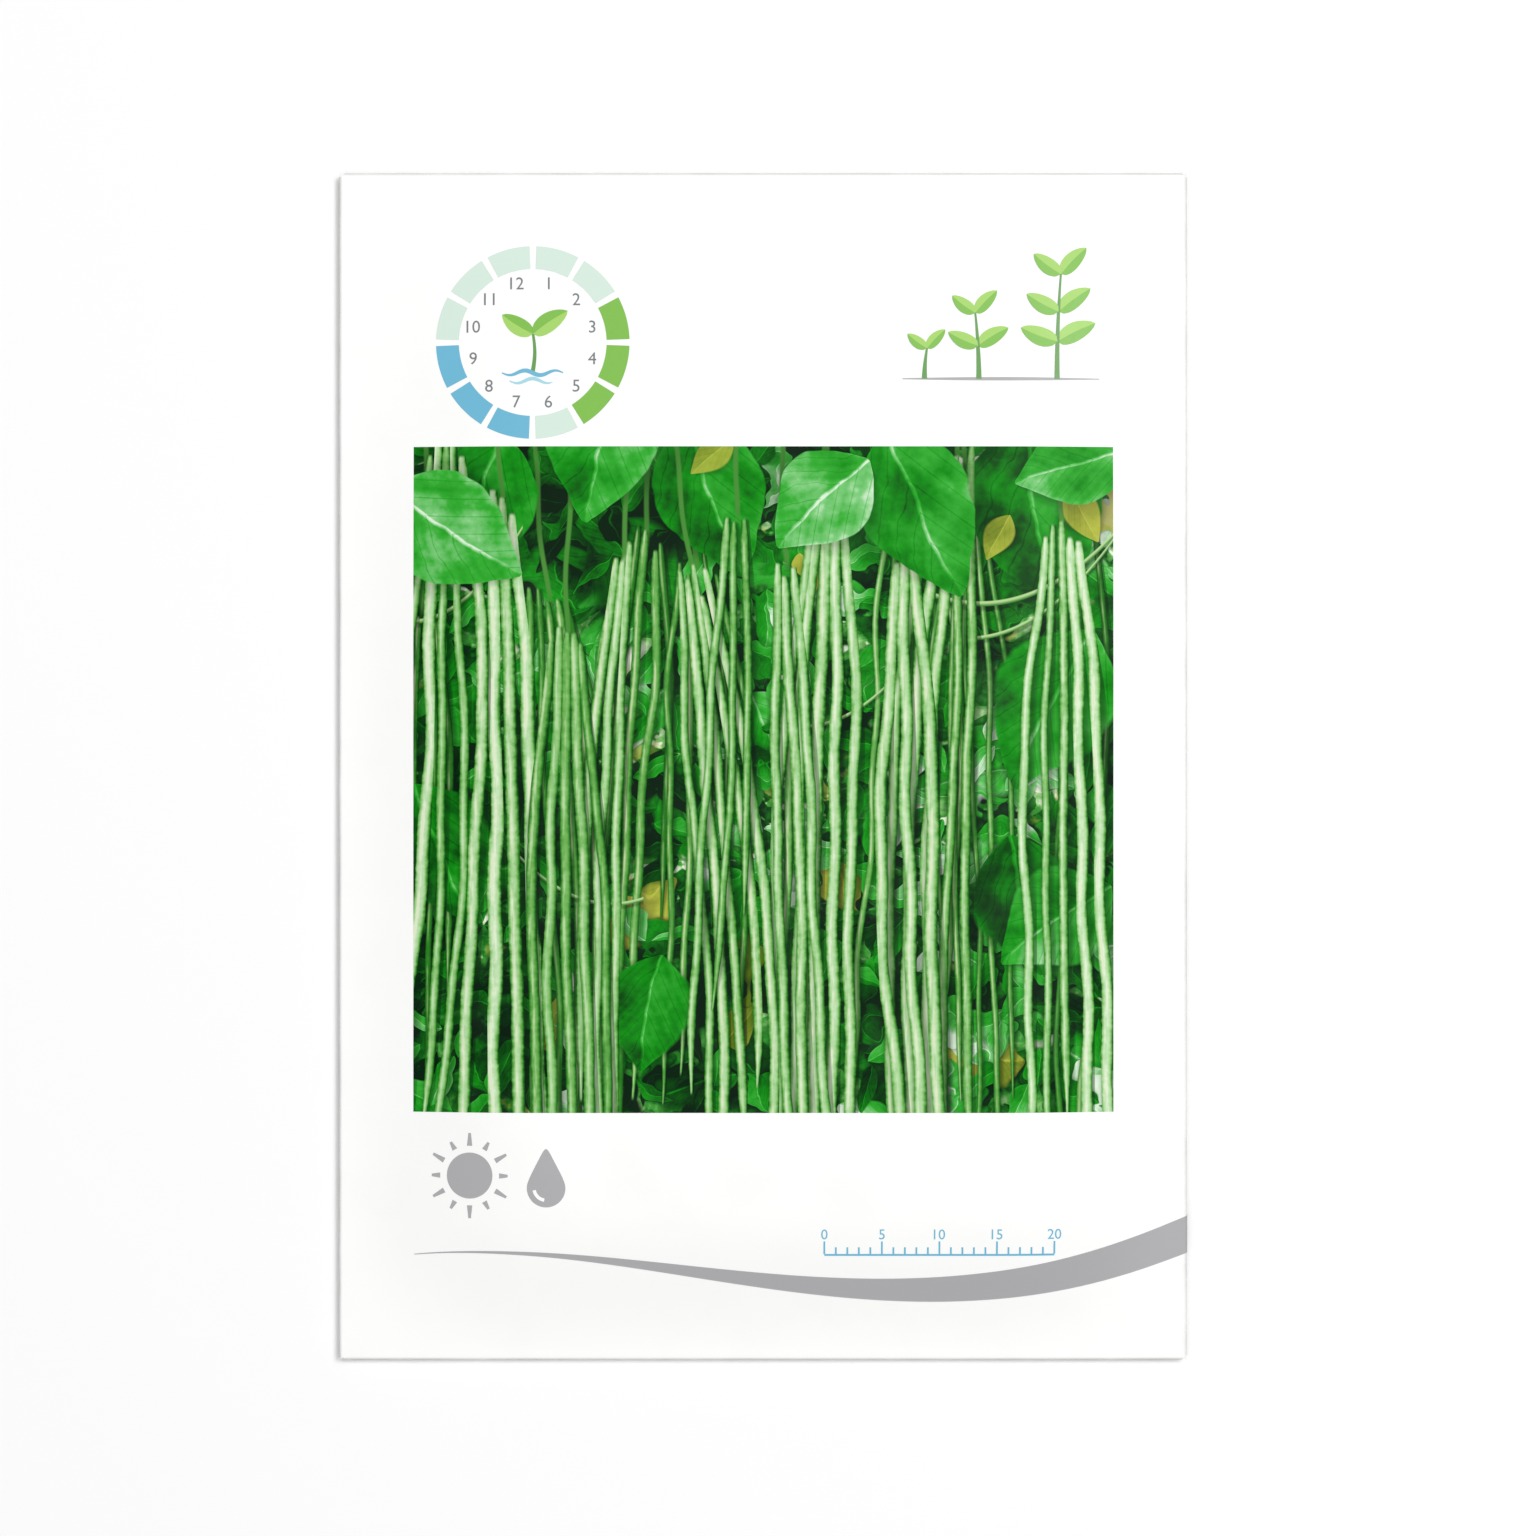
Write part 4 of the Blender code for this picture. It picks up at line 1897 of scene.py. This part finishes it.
@dataclass
class MonthWheel:
    """A sowing dial: a ring of twelve fields with their plain numbers, round a sprout over water."""

    centre: Flat = (-27.1 * MM, 49.9 * MM)
    radius: float = 11.4 * MM
    ring: float = 2.7 * MM
    gap: float = 0.035
    number_height: float = 1.45 * MM
    number_inset: float = 1.45 * MM
    year: SowingYear = SowingYear()
    # The sprout: how far its root is below the centre, its height, its sway and its widths
    root_depth: float = 3.6 * MM
    stem_height: float = 4.6 * MM
    sway: float = 0.25 * MM
    stem_widths: Flat = (0.5 * MM, 0.3 * MM)
    # The water: its width, its ripples' height, its two lines' widths, and the second one's shift
    water_width: float = 7.2 * MM
    ripple: float = 0.28 * MM
    water_lines: Flat = (0.5 * MM, 0.42 * MM)
    second_line: Flat = (0.9 * MM, -0.95 * MM)

    def shapes(self) -> list[InkShape]:
        """Draws the dial.

        Returns:
            Its shapes.
        """
        made = []
        inner = self.radius - self.ring
        for month in range(1, 13):
            start = pi / 2 - month * pi / 6
            end = start + pi / 6
            ends = (start + self.gap, end - self.gap)
            made.append(sector(self.year.ink(month), self.centre, (inner, self.radius), ends))
            place = polar(self.centre, inner - self.number_inset, (start + end) / 2)
            made.append(numeral(Ink.SLATE, month, self.number_height, place))
        return made + self._sprout()

    def _sprout(self) -> list[InkShape]:
        """Draws the sprout in the middle of the dial.

        Returns:
            Its shapes.
        """
        u, v = self.centre
        root = v - self.root_depth
        stem = swaying((u, root), self.stem_height, self.sway, 10)
        steps = 20
        water = []
        for share in (i / steps for i in range(steps + 1)):
            ripple = self.ripple * sin(share * 4 * pi)
            water.append((u + (share - 0.5) * self.water_width, root - ripple))
        second = [(a + self.second_line[0], b + self.second_line[1]) for a, b in water[:15]]
        return [
            stroke(Ink.STEM, stem, np.linspace(*self.stem_widths, len(stem))),
            *leaf(stem[-1], 148, 4.3 * MM, 2.3 * MM, (Ink.LEAF, Ink.SHOOT)),
            *leaf(stem[-1], 34, 4.9 * MM, 2.5 * MM, (Ink.SHOOT, Ink.LEAF), level=1),
            stroke(Ink.WATER, water, tapered(len(water), self.water_lines[0])).above(),
            stroke(Ink.MIST, second, tapered(len(second), self.water_lines[1])).above(),
        ]


@dataclass
class SeedlingRow:
    """Three seedlings, each bigger than the last, on a thin line of soil."""

    left: float = 16.4 * MM
    right: float = 39.6 * MM
    soil: float = 45.6 * MM
    soil_line: float = 0.4 * MM
    stem_widths: Flat = (0.62 * MM, 0.22 * MM)
    # A leaf's least length, what it gains low on the stem, and its gain from the seedling's height
    leaf_length: float = 2.6 * MM
    low_gain: float = 1.0 * MM
    height_gain: float = 0.14
    # How steeply leaves rise, in degrees: the least, and what they gain up the stem
    rise: Flat = (16.0, 30.0)
    # Each one's distance from the left end, its height, its pairs of leaves and its lean to the right
    seedlings: tuple[tuple[float, float, int, float], ...] = (
        (2.6 * MM, 3.6 * MM, 1, 0.3 * MM),
        (9.0 * MM, 7.8 * MM, 2, -0.4 * MM),
        (18.2 * MM, 12.4 * MM, 3, 0.5 * MM),
    )

    def _seedling(self, u: float, height: float, pairs: int, lean: float) -> list[InkShape]:
        """Draws one seedling.

        Args:
            u: Where it stands.
            height: How tall its stem is.
            pairs: How many pairs of leaves it has.
            lean: How far its tip leans to the right.

        Returns:
            Its shapes.
        """
        steps = 14
        stem = [(u + lean * (i / steps) ** 2, self.soil + height * i / steps) for i in range(steps + 1)]
        made = [stroke(Ink.STEM, stem, np.linspace(*self.stem_widths, len(stem))).above()]
        for pair in range(pairs):
            share = (pair + 1) / pairs
            root = stem[round(share * steps)]
            length = self.leaf_length + self.low_gain * (1 - share) + self.height_gain * height
            rise = self.rise[0] + self.rise[1] * share
            made += leaf(root, rise, length, length * 0.5, (Ink.LEAF, Ink.SHOOT))
            made += leaf(root, 180 - rise * 0.8, length * 0.92, length * 0.48, (Ink.SHOOT, Ink.LEAF), level=2)
        return made

    def shapes(self) -> list[InkShape]:
        """Draws the row.

        Returns:
            Its shapes.
        """
        count = 25
        line = [(self.left + (self.right - self.left) * i / (count - 1), self.soil) for i in range(count)]
        made = [stroke(Ink.STONE, line, tapered(count, self.soil_line, thin=0.3))]
        for along, height, pairs, lean in self.seedlings:
            made += self._seedling(self.left + along, height, pairs, lean)
        return made


@dataclass
class SunAndRain:
    """The growing signs: a sun with rays beside a drop of water, in grey."""

    sun: Flat = (-34.4 * MM, -48.0 * MM)
    sun_radius: float = 2.7 * MM
    rays: int = 12
    ray_start: float = 3.5 * MM
    ray_ends: Flat = (4.5 * MM, 5.0 * MM)
    ray_widths: Flat = (0.62 * MM, 0.3 * MM)
    drop: Flat = (-25.4 * MM, -49.4 * MM)
    drop_radius: float = 2.25 * MM
    drop_height: float = 4.6 * MM
    # The drop's tip: how sharp and how much narrower it is, and the radii and ends of the shine
    tip_power: float = 2.6
    tip_narrowing: float = 0.5
    shine_radii: Flat = (1.2 * MM, 1.6 * MM)
    shine_ends: Flat = (pi * 1.05, pi * 1.45)

    def shapes(self) -> list[InkShape]:
        """Draws the two signs.

        Returns:
            Their shapes.
        """
        steps = 40
        disc = [polar(self.sun, self.sun_radius, 2 * pi * i / steps) for i in range(steps)]
        made = [filled(Ink.STONE, disc)]
        for ray in range(self.rays):
            turn = 2 * pi * ray / self.rays
            line = [polar(self.sun, reach, turn) for reach in (self.ray_start, self.ray_ends[ray % 2])]
            made.append(stroke(Ink.STONE, line, self.ray_widths))
        outline = []
        steps = 44
        for turn in (2 * pi * i / steps - pi / 2 for i in range(steps)):
            tip = max(0.0, sin(turn)) ** self.tip_power
            u = self.drop[0] + self.drop_radius * cos(turn) * (1 - self.tip_narrowing * tip)
            v = self.drop[1] + self.drop_radius * sin(turn) + (self.drop_height - self.drop_radius) * tip
            outline.append((u, v))
        made.append(filled(Ink.STONE, outline))
        shine = sector(Ink.PAPER, self.drop, self.shine_radii, self.shine_ends)
        return made + [shine.above()]


@dataclass
class DepthScale:
    """The sowing scale: a line with ticks and plain numbers, in pale blue."""

    left: float = 7.2 * MM
    right: float = 34.2 * MM
    base: float = -57.4 * MM
    step: float = 1.35 * MM
    line: float = 0.22 * MM
    tick_half: float = 0.1 * MM
    long_tick: float = 1.5 * MM
    short_tick: float = 0.8 * MM
    to_number: int = 5
    number_height: float = 1.2 * MM
    number_rise: float = 2.55 * MM

    def shapes(self) -> list[InkShape]:
        """Draws the scale.

        Returns:
            Its shapes.
        """
        top = self.base + self.line
        made = [box(Ink.WATER, (self.left, self.base), (self.right, top))]
        for tick in range(round((self.right - self.left) / self.step) + 1):
            numbered = tick % self.to_number == 0
            tall = self.long_tick if numbered else self.short_tick
            u = self.left + tick * self.step
            made.append(box(Ink.WATER, (u - self.tick_half, top), (u + self.tick_half, top + tall)))
            if numbered:
                made.append(numeral(Ink.WATER, tick, self.number_height, (u, self.base + self.number_rise)))
        return made


@dataclass
class BackPrint:
    """The print on the back: a green bar, a strip of months, a sowing diagram and ruled lines for notes."""

    sheet: PacketSheet
    middle: Flat = (-1.5 * MM, -1.0 * MM)
    half: Flat = (36.0 * MM, 42.0 * MM)
    bar: float = 3.2 * MM
    year: SowingYear = SowingYear()
    # How far below the top the months and the soil are, and the ruled lines' number, pitch and width
    months_drop: float = 14.0 * MM
    soil_drop: float = 36.0 * MM
    rules: int = 6
    rule_pitch: float = 6.2 * MM
    rule: float = 0.2 * MM
    # The months' fields and numbers
    month_gap: float = 0.25 * MM
    month_height: float = 3.0 * MM
    number_height: float = 1.9 * MM
    number_rise: float = 5.0 * MM
    # The soil's width and unevenness, and the seeds' number, first place, pitch and depth
    soil_line: float = 0.5 * MM
    soil_swell: float = 0.3 * MM
    seeds: int = 5
    first_seed: float = 8.0 * MM
    seed_pitch: float = 14.0 * MM
    seed_depth: float = 5.4 * MM
    # Half a seed's length and height, its bend, and its dent's depth and reach as shares
    seed_half: Flat = (1.9 * MM, 1.05 * MM)
    seed_bend: float = 0.5 * MM
    seed_dent: Flat = (0.25, 0.4)
    # The seedlings' stems: their depth, height, sway and width
    stem_depth: float = 3.6 * MM
    stem_height: float = 8.0 * MM
    stem_sway: float = 0.3 * MM
    stem_line: float = 0.45 * MM

    def shapes(self) -> list[InkShape]:
        """Draws everything on the back panel.

        Returns:
            Its shapes.
        """
        u, v = self.sheet.back_place(*self.middle)
        top = v + self.half[1]
        left, right = u - self.half[0], u + self.half[0]
        made = [box(Ink.LEAF, (left, top - self.bar), (right, top))]
        made += self._months(left, top - self.months_drop)
        made += self._sowing(left, right, top - self.soil_drop)
        for line in range(self.rules):
            at = v - self.half[1] + line * self.rule_pitch
            made.append(box(Ink.STONE, (left, at), (right, at + self.rule)))
        return made

    def _months(self, left: float, low: float) -> list[InkShape]:
        """Draws twelve numbered fields in a row.

        Args:
            left: Where the first one starts.
            low: Their lower edge.

        Returns:
            Their shapes.
        """
        made = []
        pitch = 2 * self.half[0] / 12
        for month in range(1, 13):
            start = left + (month - 1) * pitch
            high = (start + pitch - self.month_gap, low + self.month_height)
            made.append(box(self.year.ink(month), (start + self.month_gap, low), high))
            place = (start + pitch / 2, low + self.number_rise)
            made.append(numeral(Ink.SLATE, month, self.number_height, place))
        return made

    def _seed(self, u: float, v: float) -> InkShape:
        """Draws a bean seed on its side, with the dent of its hilum below.

        Args:
            u: Its middle across the sheet.
            v: Its middle up the sheet.

        Returns:
            Its shape.
        """
        steps = 20
        depth, reach = self.seed_dent
        low, high = [], []
        for i in range(steps + 1):
            along = -cos(pi * i / steps)
            half = self.seed_half[1] * sin(pi * i / steps)
            bend = self.seed_bend * (0.5 - along * along)
            dented = half * (1 - depth * math.exp(-((along / reach) ** 2)))
            at = u + self.seed_half[0] * along
            low.append((at, v + bend - dented))
            high.append((at, v + bend + half))
        return band(Ink.SLATE, low, high)

    def _sowing(self, left: float, right: float, soil: float) -> list[InkShape]:
        """Draws a row of seeds under the soil, each with the seedling that comes from it.

        Args:
            left: Where the soil starts.
            right: Where the soil ends.
            soil: How high the soil's surface is.

        Returns:
            The shapes.
        """
        count = 40
        span = right - left
        swell = self.soil_swell
        line = [(left + span * i / count, soil + swell * sin(i * 0.9)) for i in range(count + 1)]
        made = [stroke(Ink.STONE, line, [self.soil_line] * len(line))]
        for place in range(self.seeds):
            u = left + self.first_seed + place * self.seed_pitch
            stem = swaying((u, soil - self.stem_depth), self.stem_height, self.stem_sway, 12)
            made.append(self._seed(u, soil - self.seed_depth))
            made.append(stroke(Ink.STEM, stem, [self.stem_line] * len(stem)).above())
            made += leaf(stem[-1], 35, 4.2 * MM, 2.1 * MM, (Ink.SHOOT, Ink.LEAF))
            made += leaf(stem[-1], 146, 4.0 * MM, 2.0 * MM, (Ink.LEAF, Ink.SHOOT), level=2)
        return made


# The studio


@dataclass
class Studio:
    """A pale floor, soft light from all round and from the upper right, and a camera straight above."""

    floor_size: float = 3.0
    floor_cells: int = 12
    view_width: float = 181.1 * MM
    lens: float = 100.0
    sensor: float = 36.0
    aim: Three = (0.59 * MM, -0.18 * MM, 1.8 * MM)
    sky: float = 0.27
    # Each lamp's name, its place, the length of its side and its power in watts
    lamps: tuple[tuple[str, Three, float, float], ...] = (
        ("key", (0.4, 0.28, 1.12), 0.4, 7.2),
        ("overhead", (-0.05, -0.1, 1.7), 1.6, 13.6),
    )

    def build(self) -> None:
        """Builds the floor, the lights and the camera."""
        self._floor()
        self._sky()
        for name, place, size, power in self.lamps:
            lamp = bpy.data.lights.new(name, "AREA")
            lamp.size, lamp.energy = size, power
            holder = add_object(name, lamp)
            holder.location = place
            holder.rotation_euler = (-Vector(place)).to_track_quat("-Z", "Y").to_euler()
        self._camera()

    def _floor(self) -> None:
        """The floor, a flat grid of even cells."""
        shape = bmesh.new()
        cells = self.floor_cells
        bmesh.ops.create_grid(shape, x_segments=cells, y_segments=cells, size=self.floor_size / 2)
        mesh = bpy.data.meshes.new("floor")
        shape.to_mesh(mesh)
        shape.free()
        mesh.materials.append(FloorFinish().build())
        add_object("floor", mesh)

    def _sky(self) -> None:
        """Even white light from every side."""
        world = bpy.data.worlds.new("studio")
        world.use_nodes = True
        background = world.node_tree.nodes["Background"]
        background.inputs["Color"].default_value = (1, 1, 1, 1)
        background.inputs["Strength"].default_value = self.sky
        bpy.context.scene.world = world

    def _camera(self) -> None:
        """The camera, framed as the photograph is."""
        lens = bpy.data.cameras.new("camera")
        lens.lens = self.lens
        lens.sensor_width = self.sensor
        lens.clip_start = 0.01
        camera = add_object("camera", lens)
        away = self.view_width * self.lens / self.sensor
        camera.location = (self.aim[0], self.aim[1], self.aim[2] + away)
        bpy.context.scene.camera = camera
        bpy.context.scene.view_settings.view_transform = "Standard"


def report(piece: Piece) -> None:
    """Logs a finished piece's name and size."""
    spans = ", ".join(f"{span / MM:.1f}" for span in piece.dimensions)
    LOG.info("%s: %d faces, %s mm", piece.name, len(piece.data.polygons), spans)


def main() -> None:
    """Builds the packet, its print and the studio, and logs each piece's size."""
    logging.basicConfig(level=logging.INFO, format="%(name)s: %(message)s")
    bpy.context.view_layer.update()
    bounds = PictureBounds()
    places = SeedField().places()
    sheet = PacketSheet(
        marks_across=tuple(border * MM for border in bounds.borders()),
        marks_up=(bounds.bottom * MM, bounds.top * MM),
        seeds=places,
    )
    effects = SharedEffects.build()
    for maker, finish in (
        (PaperEnvelope(sheet), PaperFinish().build(effects)),
        (LooseSeeds(places), SeedFinish().build()),
        (PrintedPicture(sheet, bounds), PictureFinish(bounds).build(effects)),
    ):
        piece = maker.build()
        maker.dress(piece, finish)
        report(piece)
    ink = InkFinish().build(effects)
    prints = {
        "month_wheel": MonthWheel(),
        "seedling_row": SeedlingRow(),
        "growing_signs": SunAndRain(),
        "depth_scale": DepthScale(),
        "sweeping_stripe": SweepingStripe(),
        "back_print": BackPrint(sheet),
    }
    for name, design in prints.items():
        skin = InkSkin(sheet, name)
        piece = skin.build(design.shapes())
        skin.dress(piece, ink)
        report(piece)
    Studio().build()


if __name__ == "__main__":
    main()
